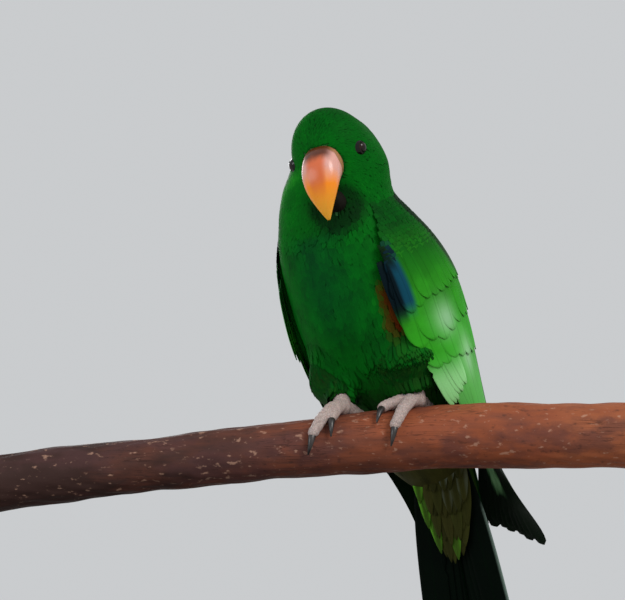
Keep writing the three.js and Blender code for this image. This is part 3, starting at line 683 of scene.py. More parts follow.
def bill_finish(name, colours):
    """Horn of the upper bill: dark at the base of the ridge, orange, with a yellow tip, and a
    painted lilac reflection on its upper sides.
    """
    finish = Finish(name, Specular_IOR_Level=0.35, Coat_Roughness=0.2, Coat_Weight=0.22)
    finish.drive(Subsurface_Weight=0.05, Subsurface_Scale=0.003)
    along, ridge, place = finish.mark("along"), finish.mark("ridge"), finish.place()
    streaks = finish.noise(place, (260, 260, 60), 4)
    cloud = finish.noise(place, 120, 3)
    at = along + (streaks - 0.5) * 0.1
    # Painted reflection: the upper sides are lilac, standing in for the sky's reflection on the
    # horn.
    stops = ((0.0, colours.lilac_sheen), (0.5, colours.lilac_sheen), (0.68, colours.orange))
    side = finish.shades(at, *stops, (1.0, colours.yellow))
    crest = ridge.ramp(0.92, 0.995) * (1 - along.ramp(0.6, 0.85)) * 0.9
    colour = finish.blend(side, colours.ridge, crest)
    seam = at + ridge * 0.18 + (cloud - 0.5) * 0.03
    colour = finish.blend(colours.rose, colour, seam.ramp(0.41, 0.44))
    line = 1 - (seam - 0.425).size().ramp(0.0, 0.02)
    colour = finish.blend(colour, colours.burnt, line * (1 - ridge.ramp(0.7, 0.95)) * 0.5)
    burnt = (1 - at.ramp(0.32, 0.46)) * ridge.ramp(0.8, 0.98)
    colour = finish.blend(colour, colours.burnt, burnt * (cloud.ramp(0.3, 0.6) * 0.3 + 0.68))
    colour = finish.blend(colour, colours.burnt, finish.mark("pit"))
    relief = finish.bump(streaks, 0.12, 0.3)
    return finish.drive(Base_Color=colour, Roughness=cloud * 0.18 + 0.2, Normal=relief)


def horn_finish(name, dark, light, rough=0.3, coat=0.3, shine=0.5):
    """Dark horn with faint growth lines, for the lower bill and the claws."""
    finish = Finish(name, Coat_Weight=coat, Coat_Roughness=0.2, Specular_IOR_Level=shine)
    grain = finish.noise(finish.place(), (500, 500, 160), 4)
    colour = finish.blend(dark, light, grain.ramp(0.35, 0.8) * 0.6)
    relief = finish.bump(grain, 0.25, 0.2)
    return finish.drive(Base_Color=colour, Roughness=grain * 0.2 + rough, Normal=relief)


def eye_finish(name, iris, rays):
    """A dark pupil, a warm iris with fine rays and a dark rim under a clear wet surface."""
    finish = Finish(name, Roughness=0.05, Specular_IOR_Level=0.15)
    finish.drive(Coat_Weight=0.35, Coat_Roughness=0.02)
    off = finish.mark("off")
    fine = finish.noise(finish.place(), 900, 2)
    colour = finish.blend(PUPIL, iris, off.ramp(0.43, 0.5))
    colour = finish.blend(colour, rays, fine.ramp(0.4, 0.7) * 0.45)
    return finish.drive(Base_Color=finish.blend(colour, EYE_RIM, off.ramp(0.62, 0.74)))


def scale_finish(name, skin, crease, size, shine=0.3):
    """Scaly skin: small cells with darker creases."""
    finish = Finish(name, Specular_IOR_Level=shine)
    finish.drive(Subsurface_Weight=0.08, Subsurface_Scale=0.002)
    place = finish.place()
    flat = finish.cells(place, 1 / (size * MM)).ramp(0.0, 0.1)
    cloud = finish.noise(place, 160, 3)
    # Darker blotches, blended towards the crease colour.
    blotches = finish.noise(place, 700, 4)
    colour = finish.blend(crease, skin, flat * 0.4 + cloud * 0.25 + 0.4)
    colour = finish.blend(colour, crease, blotches.ramp(0.5, 0.8) * 0.3)
    relief = finish.bump(flat + blotches * 0.2, 0.45, 0.2)
    return finish.drive(Base_Color=colour, Roughness=0.75 - flat * 0.2, Normal=relief)


def wood_finish(name, colours):
    """A weathered pole: stretched grain, scuffed patches, dark cracks, ringed cut ends and painted
    sunlight brightening one end.
    """
    finish = Finish(name, Specular_IOR_Level=0.3)
    place = finish.place()
    grain = finish.noise(place, (40, 240, 240), 6, 0.6)
    patch = finish.noise(place, (22, 38, 38), 3)
    fleck = finish.noise(place, (220, 380, 380), 4)
    stain = finish.noise(place, (26, 48, 48), 5)
    crack = finish.noise(place, (16, 420, 420), 3)
    # Painted light: the last term brightens the wood along the branch towards its sunlit end.
    lit = grain * 0.35 + patch * 0.75 - 0.08 + finish.split(place)[0] * 2.3
    browns = (colours.dark, colours.wood, colours.warm, colours.glow)
    colour = finish.shades(lit, *zip((0.22, 0.45, 0.68, 1.0), browns))
    colour = finish.blend(colour, colours.stain, stain.ramp(0.48, 0.62) * 0.6)
    colour = finish.blend(colour, colours.worn, fleck.ramp(0.6, 0.7) * 0.5)
    colour = finish.blend(colour, colours.dark, (1 - fleck.ramp(0.28, 0.42)) * 0.5)
    gap = (1 - (crack - 0.5).size().ramp(0.0, 0.012)) * patch.ramp(0.5, 0.62)
    colour = finish.blend(colour, colours.dark, gap * 0.6)
    rings = (finish.mark("radius") * 5.2 + grain * 3).wave() * 0.5 + 0.5
    heart = finish.blend(colours.cut, colours.warm, rings * 0.55)
    colour = finish.blend(colour, heart, finish.mark("cut"))
    relief = finish.bump(grain * 0.6 + fleck * 0.4 - gap * 0.6, 0.7, 0.5)
    return finish.drive(Base_Color=colour, Roughness=grain * 0.25 + 0.6, Normal=relief)


def stand_finish(name, colour, rough):
    """Satin lacquer with a very fine texture."""
    finish = Finish(name, Specular_IOR_Level=0.45, Coat_Weight=0.15, Coat_Roughness=0.3)
    place = finish.place()
    smear = finish.noise(place, 14, 4)
    lighter = tuple(min(1, c * 1.7 + 0.01) for c in colour)
    tint = finish.blend(colour, lighter, smear.ramp(0.4, 0.75) * 0.5)
    relief = finish.bump(finish.noise(place, 2600, 2), 0.25, 0.05)
    return finish.drive(Base_Color=tint, Roughness=smear * 0.18 + rough, Normal=relief)


# Feathers

BARB_SLANT = 1.1
PATCH = 0.003  # width of a feather's patch on the bake map
MARKS = ("tone", "lime", "pale", "olive", "blue", "red", "black", "silver")
SOFT_OUTLINE = ((0, 0.45), (0.3, 0.85), (0.62, 1), (0.85, 0.78), (1, 0.22))
SLIM_OUTLINE = ((0, 0.5), (0.4, 1), (0.72, 0.92), (0.9, 0.6), (1, 0.2))
SCALE_OUTLINE = ((0, 0.5), (0.3, 0.9), (0.6, 1), (0.8, 0.86), (0.93, 0.52), (1, 0.14))


def feather_shape(name, outline, rows, columns, arch, bow, frill=0.0, rounding=0.08):
    """One small feather of unit size: root at the origin, tip along Y, a closed lens across."""
    t, u = np.linspace(0, 1, rows)[:, None], np.linspace(-1, 1, columns)[None, :]
    share = between(outline, t[:, 0])
    x = 0.5 * u * (share + frill * np.sin(t * 40) * np.abs(u) * ease(0.4, 0.9, t))
    y = np.broadcast_to(t, x.shape) - rounding * u**2 * ease(0.6, 1, t)
    z = arch * share**2 * (1 - u**2) + bow * np.sin(t * math.pi)
    points = np.stack([x, y, z], -1).reshape(-1, 3)
    faces = [tuple(f) for f in grid_faces(rows, columns)]
    for a in range(0, (rows - 1) * columns, columns):
        faces.append((a, a + columns, a + 2 * columns - 1, a + columns - 1))
    faces.append(tuple(range(columns)))
    faces.append(tuple(reversed(range((rows - 1) * columns, rows * columns))))
    mesh = bpy.data.meshes.new(name)
    mesh.from_pydata(points.tolist(), [], faces)
    lay_uv(mesh, "Vane", np.stack([points[:, 0] + 0.5, points[:, 1]], -1))
    mesh.shade_smooth()
    return outward(bpy.data.objects.new(name, mesh))


def coat_tree():
    """Sets a feather on every point by its lie and size, and gives each a patch of the bake map."""
    tree = bpy.data.node_groups.new("coat of feathers", "GeometryNodeTree")
    sockets = (
        ("Geometry", "Geometry", None),
        ("Feather", "Object", None),
        ("Finish", "Material", None),
        ("Fullness", "Float", 1.0),
        ("Patch", "Float", PATCH),
    )
    for label, kind, value in sockets:
        kind = "NodeSocket" + kind
        socket = tree.interface.new_socket(label, in_out="INPUT", socket_type=kind)
        if value is not None:
            socket.default_value = value
    tree.interface.new_socket("Geometry", in_out="OUTPUT", socket_type="NodeSocketGeometry")

    def node(kind, settings=None, inputs=None):
        made = tree.nodes.new(kind)
        for key, value in (settings or {}).items():
            setattr(made, key, value)
        for key, value in (inputs or {}).items():
            if isinstance(value, bpy.types.NodeSocket):
                tree.links.new(value, made.inputs[key])
            else:
                made.inputs[key].default_value = value
        return made

    def named(kind, name):
        made = node("GeometryNodeInputNamedAttribute", {"data_type": kind}, {"Name": name})
        return made.outputs["Attribute"]

    def vector(operation, a, b):
        inputs = {0: a, "Scale" if operation == "SCALE" else 1: b}
        return node("ShaderNodeVectorMath", {"operation": operation}, inputs).outputs[0]

    group = node("NodeGroupInput").outputs
    feather = node("GeometryNodeObjectInfo", {}, {"Object": group["Feather"]})
    size = vector("SCALE", named("FLOAT_VECTOR", "size"), group["Fullness"])
    inputs = {
        "Points": group["Geometry"],
        "Instance": feather.outputs["Geometry"],
        "Rotation": named("QUATERNION", "lie"),
        "Scale": vector("SCALE", size, MM),
    }
    placed = node("GeometryNodeInstanceOnPoints", {}, inputs)
    real = node("GeometryNodeRealizeInstances", {}, {0: placed.outputs["Instances"]})
    off = vector("SUBTRACT", named("FLOAT_VECTOR", "Vane"), (0.5, 0.5, 0))
    where = vector("ADD", vector("SCALE", off, group["Patch"]), named("FLOAT_VECTOR", "root"))
    inputs = {"Geometry": real.outputs[0], "Name": "OFBake", "Value": where}
    kind = {"data_type": "FLOAT2", "domain": "CORNER"}
    store = node("GeometryNodeStoreNamedAttribute", kind, inputs)
    inputs = {"Geometry": store.outputs[0], "Material": group["Finish"]}
    paint = node("GeometryNodeSetMaterial", {}, inputs)
    tree.links.new(paint.outputs[0], node("NodeGroupOutput").inputs["Geometry"])
    return tree


def quaternions(lie, normal):
    """Turns that lay a feather's length along the lie and its face along the normal."""
    y = unit(lie - normal * (lie * normal).sum(-1, keepdims=True))
    x = np.cross(y, normal)
    turns = (Matrix(axes).transposed().to_quaternion() for axes in zip(x, y, normal))
    return np.array([tuple(turn) for turn in turns])


def grow_coat(name, slot, feather, finish, laid, marks):
    """A coat piece from roots, chords, normals, sizes and bake places in the trunk frame."""
    roots, chord, normal, size, bake = laid
    chord, normal = (v @ TRUNK_FRAME[:3, :3].T for v in (chord, normal))
    mesh = bpy.data.meshes.new(name)
    mesh.from_pydata((carry(TRUNK_FRAME, roots) * MM).tolist(), [], [])
    turn = mesh.attributes.new("lie", "QUATERNION", "POINT")
    turn.data.foreach_set("value", quaternions(chord, normal).astype(np.float32).ravel())
    mark(mesh, "size", size)
    mark(mesh, "soft", normal)
    mark(mesh, "root", np.column_stack([bake, np.zeros(len(roots))]))
    for label in MARKS:
        mark(mesh, label, marks.get(label, np.zeros(len(roots))))
    obj = link(bpy.data.objects.new(name, mesh))
    tree = bpy.data.node_groups.get("coat of feathers") or coat_tree()
    grow = obj.modifiers.new("coat", "NODES")
    grow.node_group = tree
    entries = [item for item in tree.interface.items_tree if item.in_out == "INPUT"]
    inputs = {item.name: item.identifier for item in entries}
    grow[inputs["Feather"]] = feather
    grow[inputs["Finish"]] = finish
    grow[inputs["Fullness"]] = 1.0
    grow[inputs["Patch"]] = PATCH
    return finish_piece(settle(obj), slot)


# Coat of the body


# Coat along the body: run from the tail end, feather length, width, pitch along,
# pitch across, skin depth
COAT = (
    (0, 12, 4.2, 2.9, 2.5, 1.6),
    (40, 12.5, 4.2, 2.8, 2.4, 2.0),
    (110, 11.5, 3.9, 2.6, 2.3, 2.0),
    (150, 9.5, 3.4, 2.1, 2.0, 1.7),
    (172, 7.8, 2.9, 1.7, 1.6, 1.4),
    (195, 6, 2.4, 1.35, 1.25, 1.1),
    (225, 4.5, 1.9, 1.0, 0.95, 0.8),
    (250, 3.6, 1.55, 0.85, 0.8, 0.6),
    (279, 2.6, 1.2, 0.7, 0.7, 0.4),
)
FEATHER_THICK = 0.18  # height of a body feather's arch and bow against its length
BODY_END = TRUNK_RUN + FAN_RUN + FACE_RUN
THIGH_BLEND = 9
THIGH_COAT_DEPTH = 1.2
COAT_SEED = 2718
CHIN_SHADOW = ((0, -20, -27), (12, 13, 11))  # painted shadow round the lower bill: middle and reach


def thigh_field(leg):
    hip, ankle, _ = leg_points(leg)
    axis = unit(ankle - hip)
    length = np.linalg.norm(ankle - hip)

    def field(p):
        t = np.clip((p - hip) @ axis / length, 0, 1)
        centre = hip + axis * (t * length)[..., None]
        return np.linalg.norm(p - centre, axis=-1) - between(leg["thigh"], t)[..., 0]

    return field


def leg_points(leg):
    """Hip, ankle and foot of a leg in the trunk frame."""
    sole = on_perch(leg["at"], 0, TOE_RADII[0])
    foot = carry(np.linalg.inv(TRUNK_FRAME) @ PERCH_FRAME, sole)
    hip = np.array(leg["hip"], float)
    return hip, foot + unit(hip - foot) * ANKLE_UP, foot


def flesh_field(p):
    """The body with its thighs, softly joined."""
    found = body_field(p)
    for leg in LEGS.values():
        found = soften(found, thigh_field(leg)(p), THIGH_BLEND)
    return found


def flesh_normal(p):
    step = 0.4 * np.eye(3)
    slope = [flesh_field(p + step[k]) - flesh_field(p - step[k]) for k in range(3)]
    return unit(np.stack(slope, -1))


def on_flesh(p, height):
    """Slides points to a height over the flesh."""
    for _ in range(3):
        p = p - flesh_normal(p) * (flesh_field(p) - height)[..., None]
    return p


def over_shoulder(run, turn):
    """How far feathers of the neck and the breast rise to lie over the edges of the wings."""
    round_ = from_breast(turn)
    nape = 1.8 * band(run, 166, 172, 184, 192) * band(np.abs(round_), 52, 66, 132, 146)
    right_wing = 3.9 * band(-round_, 34, 50, 66, 78) * band(run, 70, 92, 158, 168)
    return nape + right_wing


def lay_feathers(roots, lie, length, width, rise, rng):
    """Chords from the roots to tips that rest on the coat's outer surface, normals and sizes."""
    aside = np.cross(lie, flesh_normal(roots))
    sway = np.radians(rng.normal(0, 5, len(roots)))[:, None]
    lie = lie * np.cos(sway) + aside * np.sin(sway)
    tip = on_flesh(roots + lie * length[:, None], rise)
    normal = flesh_normal(on_flesh((roots + tip) / 2, 0))
    chord = tip - roots
    size = np.stack([width, np.linalg.norm(chord, axis=1), length * FEATHER_THICK], -1)
    return chord, normal, size


def body_rows(rng):
    """Roots in staggered rows round the body, thinned where rows crowd at the throat."""
    run, runs, turns = 1.5, [], []
    angle = np.linspace(0, FULL_TURN, 73)
    while run < BODY_END - 1.2:
        _, _, pitch, across, _ = between(COAT, run)
        ring = body_at(run, angle)
        ahead = np.linalg.norm(body_at(min(run + pitch, BODY_END), angle) - ring, axis=1)
        step = pitch * min(1.0, 1.15 * pitch / ahead.max())
        around = np.linalg.norm(np.diff(ring, axis=0), axis=1).sum()
        count = max(6, int(around / across))
        stagger = 0.5 * (len(runs) % 2) + rng.uniform(-0.22, 0.22, count)
        turn = (np.arange(count) + stagger) / count * FULL_TURN
        gap = np.interp(turn % FULL_TURN, angle, ahead) * step / pitch
        kept = rng.uniform(0, 1, count) < np.clip(gap / pitch * 1.15, 0.14, 1)
        runs.append((run + rng.uniform(-0.3, 0.3, count) * step)[kept])
        turns.append(turn[kept])
        run += step
    return np.concatenate(runs), np.concatenate(turns)


def body_marks(run, turn, p, rng):
    """Colours of the body's feathers by their place, with painted shade on the belly, under the
    wing and round the lower bill.
    """
    round_ = from_breast(turn)
    off = np.abs(round_)
    front = 1 - ease(45, 100, off)
    headward = ease(160, 205, run)
    streaks = wander(p * (1, 1, 0.35), 9, 31)
    # Painted shadow: feathers round the lower bill are darkened and blackened where its shade
    # falls.
    chin_shadow = np.linalg.norm((carry(TRUNK_TO_HEAD, p) - CHIN_SHADOW[0]) / CHIN_SHADOW[1], axis=1)
    chin_shadow = 1 - ease(0.8, 1.3, chin_shadow)
    cheek = ease(196, 215, run) * band(off, 20, 40, 70, 100)
    # Painted shade, in streaks: the lower front of the body is darkened as if turned away from the
    # light.
    belly = front * (1 - ease(60, 125, run)) * (0.09 + 0.08 * streaks)
    breastbone = hill(round_, 0, 22) * ease(100, 135, run) * (1 - ease(185, 215, run))
    right_flank = ease(-50, -75, round_) * ease(90, 130, run)
    back = ease(110, 150, off)
    # Painted shadow: the left flank below the wing's front edge is darkened where the wing's shadow
    # falls.
    painted_wing_shadow = ease(36, 50, round_) * band(run, 58, 70, 98, 110)
    tone = 0.52 + 0.03 * headward + 0.05 * wander(p, 26, 5) + rng.normal(0, 0.03, len(run))
    tone = tone + 0.1 * cheek + 0.045 * streaks * (1 - headward) + 0.08 * right_flank
    tone = tone - belly - 0.1 * breastbone - 0.08 * back - 0.2 * painted_wing_shadow - 0.2 * chin_shadow
    low = 1 - ease(24, 52, run)
    olive = 0.85 * low * (1 - ease(95, 130, off)) + 0.18 * front * (1 - ease(55, 95, run))
    red = band(round_, 35, 41, 56, 64) * band(run, 104, 112, 130, 141)
    red = red * np.clip(0.9 + 0.25 * streaks, 0, 1)
    blue = 0.06 * hill(round_, 0, 24) * ease(105, 140, run) * (1 - ease(180, 205, run))
    black = np.clip(0.35 * low * (0.5 + 0.5 * streaks) + 0.6 * chin_shadow, 0, 1)
    return {"tone": tone, "olive": olive, "red": red, "blue": blue, "black": black}


def bill_trees():
    """Each half of the bill as a tree for nearness and its middle, in the trunk frame."""
    trees = []
    for points, faces in (upper_bill_mesh(22, 20)[:2], lower_bill_mesh(14, 16)):
        tree = BVHTree.FromPolygons(carry(HEAD_TO_TRUNK, points).tolist(), faces)
        trees.append((tree, carry(HEAD_TO_TRUNK, points.mean(0))))
    return trees


def outside(tree, middle, p):
    """How far a point is outside a rounded closed mesh, far where it is past its reach."""
    near, normal, _, distance = tree.find_nearest(Vector(p), 4)
    if near is None:
        return FAR
    out = normal if normal.dot(near - Vector(middle)) > 0 else -normal
    return math.copysign(distance, (Vector(p) - near).dot(out))


LID_SQUEEZE = 0.86
LID_REACH = 2.75  # where the feathers round an eye begin
# Rim round an eye: distance from its middle and height over the line where the ball meets the skin
LID_PROFILE = (
    (2.08, 0.62, 0),
    (2.2, 0.88, 0),
    (2.4, 0.9, 0),
    (2.62, 0.6, 0),
    (2.95, 0.12, 0),
    (3.6, -0.9, 0),
    (3.2, -1.7, 0),
    (2.35, -1.2, 0),
    (2.0, 0.15, 0),
)


def eye_centre(side):
    """Middle of an eyeball and the way it looks, in the head frame."""
    start = carry(HEAD_TO_TRUNK, (0, -EYE_FORWARD, EYE_UP))
    sideways = HEAD_TO_TRUNK[:3, :3] @ np.array([side, 0, 0], float)
    surface = carry(TRUNK_TO_HEAD, ray_out(start, sideways, 0.0))
    turn = math.radians(EYE_TURN)
    look = np.array([side * math.cos(turn), -math.sin(turn), 0])
    return np.array([surface[0], -EYE_FORWARD, EYE_UP]) + look * (EYE_PROUD - EYE_RADIUS), look


def eye_distance(p, side):
    """How far points in the trunk frame are from the middle of an eye, across its sight."""
    centre, look = eye_centre(side)
    off = carry(TRUNK_TO_HEAD, p) - centre - look * (EYE_RADIUS - EYE_PROUD)
    aside = unit(np.cross(look, (0, 0, 1)))
    flat = np.hypot(off @ aside / LID_SQUEEZE, off @ np.cross(aside, look))
    return np.where(off @ look < -6, FAR, flat)


def clear_of_face(p):
    """Which points keep clear of the bill and of the eyes."""
    trees = bill_trees()
    kept = (eye_distance(p, 1) > LID_REACH) & (eye_distance(p, -1) > LID_REACH)
    for i in np.nonzero(carry(TRUNK_TO_HEAD, p)[:, 1] < -8)[0]:
        kept[i] &= all(outside(tree, middle, p[i]) >= 0.15 for tree, middle in trees)
    return kept


def short_of_eyes(roots, lie, length):
    """Lengths cut so that the tips stop at the rims of the eyes."""
    stop = LID_REACH - 0.3
    for side in (1, -1):
        near, tip = (eye_distance(p, side) for p in (roots, roots + lie * length[:, None]))
        room = (near - stop) / np.maximum(near - tip, 0.01)
        length = np.where((tip < stop) & (near < 12), length * np.clip(room, 0.3, 1), length)
    return length


def thigh_at(leg, t, turn, grow=0.0):
    hip, ankle, _ = leg_points(leg)
    axis = unit(ankle - hip)
    side = unit(np.cross(axis, (0, 1, 0.2)))
    radius = (between(leg["thigh"], t)[..., 0] + grow)[..., None]
    centre = hip + (ankle - hip) * np.asarray(t)[..., None]
    out = side * np.cos(turn)[..., None] + np.cross(axis, side) * np.sin(turn)[..., None]
    return centre + out * radius


def bake_place(run, turn):
    """Place on the bake map of a run along the body and a turn round it."""
    round_share = turn % FULL_TURN / FULL_TURN
    return np.stack([0.02 + 0.8 * run / BODY_END, 0.01 + 0.98 * round_share], -1)


def skin_parts():
    """Body and thighs inside the coat by its depth."""
    runs = np.linspace(0.5, BODY_END - 0.5, 190)
    depth = between(COAT, runs)[:, 4]
    parts = [loft(body_at(runs[:, None], round_angles(112)[None, :], -depth[:, None]))]
    for leg in LEGS.values():
        t, turn = np.meshgrid(np.linspace(0, 1, 24), round_angles(36), indexing="ij")
        parts.append(loft(thigh_at(leg, t, turn, -THIGH_COAT_DEPTH)))
    return parts


def unwrap_body(p):
    """Places on the bake map of points near the body."""
    runs, turns = np.meshgrid(np.linspace(0, BODY_END, 140), round_angles(120), indexing="ij")
    tree = KDTree(runs.size)
    for i, q in enumerate(body_at(runs, turns, -1.5).reshape(-1, 3)):
        tree.insert(q, i)
    tree.balance()
    found = np.array([tree.find(q)[1] for q in p])
    return bake_place(runs.ravel()[found], turns.ravel()[found])


def make_skin(colours):
    finish = Finish("bare skin under the coat", Roughness=0.8)
    tone = finish.noise(finish.place(), 140, 4)
    colour = finish.blend(colours.deep, colours.green, tone.ramp(0.3, 0.8) * 0.6)
    finish.drive(Base_Color=colour, Normal=finish.bump(tone, 0.4, 0.5))
    flesh = ("torso", "neck", "head", "thigh_left", "thigh_right")
    skin = fused_piece(
        "skin", TRUNK_FRAME, skin_parts(), 1.3, 6, finish.material, "green_plumage", *flesh
    )
    local = carry(np.linalg.inv(TRUNK_FRAME), read_points(skin.data))
    lay_uv(skin.data, "OFBake", unwrap_body(local))


def under_wing(run, turn):
    down = -(run + TRUNK[0][0])
    side = np.abs(from_breast(turn))
    return (down > -49) & (down < 44) & (side > 76) & (side < 130)


def coat_piece(name, run, turn, settings, feather, finish, rng):
    """Feathers of the body, where the perch leaves them room."""
    rows = between(COAT, run)
    roots = on_flesh(body_at(run, turn), -rows[:, 4])
    lie = unit(body_at(run - 0.8, turn) - body_at(run + 0.8, turn))
    vary = rng.uniform(0.85, 1.15, len(run))
    length = short_of_eyes(roots, lie, rows[:, 0] * vary * settings.length)
    rise = over_shoulder(run, turn)
    chord, normal, size = lay_feathers(roots, lie, length, rows[:, 1] * vary, rise, rng)
    free = perch_depth(carry(TRUNK_TO_PERCH, roots + chord)) > -0.5
    free &= perch_depth(carry(TRUNK_TO_PERCH, roots)) > 0.3
    marks = {k: v[free] for k, v in body_marks(run, turn, roots, rng).items()}
    laid = [v[free] for v in (roots, chord, normal, size, bake_place(run, turn))]
    grow_coat(name, "green_plumage", feather, finish, laid, marks)


def thigh_coat(name, leg, feather, finish, rng):
    """Feathers of a thigh, where they stand clear of the body and of the perch."""
    shares, count = np.arange(0.04, 0.99, 0.045), 50
    t = np.repeat(shares, count)
    turn = np.tile(np.arange(count), len(shares)) + rng.uniform(-0.3, 0.3, len(t))
    turn = turn / count * FULL_TURN
    free = body_field(thigh_at(leg, t, turn)) > 0.5
    t, turn = t[free], turn[free]
    roots = on_flesh(thigh_at(leg, t, turn), -THIGH_COAT_DEPTH)
    hip, ankle, _ = leg_points(leg)
    lie = unit(mix(np.array([0, -0.2, -1.0]), unit(ankle - hip), ease(0.4, 0.9, t)[:, None]))
    length = mix(10, 7.5, t) * rng.uniform(0.85, 1.15, len(roots))
    chord, normal, size = lay_feathers(roots, lie, length, length * 0.32, 0.1, rng)
    free = perch_depth(carry(TRUNK_TO_PERCH, roots + chord)) > 0.2
    tone = 0.46 + rng.normal(0, 0.04, free.sum()) - 0.12 * ease(0.3, 0.8, t[free])
    marks = {"tone": tone, "olive": 0.12 * rng.uniform(0, 1, free.sum())}
    field = 0.5 if leg["at"] > 0 else 0.05
    bake = np.stack([0.85 + 0.12 * t, field + 0.4 * (turn / 6.3 % 1)], -1)
    laid = [v[free] for v in (roots, chord, normal, size, bake)]
    grow_coat(name, "green_plumage", feather, finish, laid, marks)


# Pieces of the coat: name, run from and to, feather
COAT_PIECES = (
    ("vent_coat", -99, 78, "soft"),
    ("breast_coat", 78, 150, "soft"),
    ("neck_coat", 150, 200, "soft"),
    ("crown_coat", 200, 240, "slim"),
    ("face_coat", 240, 400, "slim"),
)


def make_coat(colours):
    finish = plumage_finish("body feathers", colours, 0.5, 0.55, 0.8)
    feathers = {
        "soft": feather_shape("body feather", SOFT_OUTLINE, 6, 5, 0.1, 0.12, 0.04),
        "slim": feather_shape("face feather", SLIM_OUTLINE, 5, 3, 0.14, 0.12),
    }
    rng = np.random.default_rng(COAT_SEED)
    run, turn = body_rows(rng)
    roots = body_at(run, turn)
    clear = clear_of_face(roots) & ~under_wing(run, turn)
    for leg in LEGS.values():
        clear &= thigh_field(leg)(roots) > rng.normal(-1, 2.2, len(run))
    split = run + rng.normal(0, 3.5, len(run))
    for name, low, high, kind in COAT_PIECES:
        kept = clear & (split >= low) & (split < high)
        coat_piece(name, run[kept], turn[kept], colours, feathers[kind], finish, rng)
    for name, leg in LEGS.items():
        thigh_coat(f"thigh_coat_{name}", leg, feathers["soft"], finish, rng)


# Bill, eyes and feet


def bill_rings(top, edge, widths, rows, sides):
    """Rings between the outlines of a half bill, with shares along and down from its top."""
    t = np.linspace(0, 1, rows)
    a, b = bezier(top, t), bezier(edge, t)
    turn = round_angles(sides)
    fall = (1 - np.cos(turn)) / 2
    bulge = np.sign(np.sin(turn)) * np.abs(np.sin(turn)) ** BILL_ROUND
    x = between(widths, t) * bulge
    forward, up = (mix(a[:, k : k + 1], b[:, k : k + 1], fall[None, :]) for k in (0, 1))
    return np.stack([x, -forward, up], -1), t, fall


def upper_bill_mesh(rows, sides):
    rings, t, fall = bill_rings(UPPER_TOP, UPPER_EDGE, UPPER_WIDTHS, rows, sides)
    along = np.concatenate([np.repeat(t, sides), [0, 1]])
    ridge = np.concatenate([np.tile(1 - fall, rows), [0.5, 0.5]])
    return *loft(rings), along, ridge


def lower_bill_mesh(rows, sides):
    return loft(bill_rings(LOWER_TOP, LOWER_EDGE, LOWER_WIDTHS, rows, sides)[0])


def make_bill(colours):
    points, faces, along, ridge = upper_bill_mesh(84, 64)
    pit = np.zeros(len(points))
    for side in (1, -1):
        hole = np.array([side * NOSTRIL[0], NOSTRIL[1], NOSTRIL[2]])
        near = 1 - ease(0.7, 1.7, np.linalg.norm(points - hole, axis=1))
        points = points + near[:, None] * np.array([-side * 1.0, 0.6, -0.6])
        pit = np.maximum(pit, near)
    horn = bill_finish("orange horn", colours)
    marks = {"along": along, "ridge": ridge, "pit": pit}
    made = (points, faces)
    closed_piece("upper_bill", HEAD_FRAME, made, horn, "orange_bill", "bill_upper", **marks)
    dark = horn_finish("black horn", colours.lower, colours.lower_sheen, 0.6, 0.0, 0.1)
    made = lower_bill_mesh(48, 48)
    closed_piece("lower_bill", HEAD_FRAME, made, dark, "black_bill", "bill_lower")


def eyeball_mesh(centre, look, aside, up):
    """A ball with a slightly raised cornea, and how far each point is off the line of sight."""
    polar, turn = np.linspace(0, math.pi, 46)[1:-1], round_angles(48)
    bulge = EYE_RADIUS * (1 + 0.05 * (1 - ease(0.25, 0.75, polar)))
    out = aside * np.cos(turn)[:, None] + up * np.sin(turn)[:, None]
    ahead = centre + look * (bulge * np.cos(polar))[:, None, None]
    rings = ahead + out[None] * (bulge * np.sin(polar))[:, None, None]
    return loft(rings), np.concatenate([np.repeat(polar, len(turn)), [0, math.pi]])


def eyelid_mesh(centre, look, aside, up):
    """A rim of small beads where the ball meets the skin."""
    profile = smooth_path(LID_PROFILE + LID_PROFILE[:1], 25)[:-1]
    angle = round_angles(72)
    out = aside * np.cos(angle)[:, None] * LID_SQUEEZE + up * np.sin(angle)[:, None]
    bead = 1 + 0.012 * np.sin(angle * 23)
    wall = centre + look * (EYE_RADIUS - EYE_PROUD)
    wall = wall + out[:, None] * (profile[None, :, 0] * bead[:, None])[..., None]
    wall = wall + look * profile[None, :, 1, None]
    faces = grid_faces(len(angle) + 1, len(profile), 0, True) % (len(angle) * len(profile))
    return wall.reshape(-1, 3), faces


def make_eyes(settings):
    wet = eye_finish("eye", settings.iris, settings.iris_rays)
    skin = scale_finish("eyelid skin", settings.lid, settings.lid_crease, 0.5, 0.05)
    for name, side in (("left", 1), ("right", -1)):
        centre, look = eye_centre(side)
        aside = unit(np.cross(look, (0, 0, 1)))
        axes = (centre, look, aside, np.cross(aside, look))
        ball, off = eyeball_mesh(*axes)
        eye = f"eyeball_{name}"
        closed_piece(eye, HEAD_FRAME, ball, wet, "dark_eye", f"eye_{name}", off=off)
        lid = eyelid_mesh(*axes)
        closed_piece(f"eyelid_{name}", HEAD_FRAME, lid, skin, "green_plumage")


def toe_path(leg, toe):
    along, turn = toe
    radius = mix(TOE_RADII[0], TOE_RADII[3], TOE_SHARES)
    return on_perch(leg["at"] + along * TOE_SHARES, turn * TOE_SHARES, radius + 0.25)


def claw_path(leg, toe):
    """From the end of a toe in an arc down onto the perch."""
    along, turn = toe
    onward = math.degrees(CLAW_LENGTH / between(PERCH, leg["at"])[1])
    turn = turn + math.copysign(onward, turn) * TOE_SHARES
    lift = TOE_RADII[3] + 2.1 * np.sin(TOE_SHARES * math.pi * 0.62) - 2.3 * TOE_SHARES
    return on_perch(leg["at"] + along * (1 + 0.2 * TOE_SHARES), turn, lift)


def scutes(rows, height):
    """Overlapping plates across the top of a toe."""

    def relief(t, angle):
        plate = (t * rows % 1) ** 2 - 0.4
        ripple = 0.12 * np.sin(t * rows * 1.7 + angle * 3)
        return height * plate * (0.4 + 0.6 * np.abs(np.sin(angle))) + ripple

    return relief


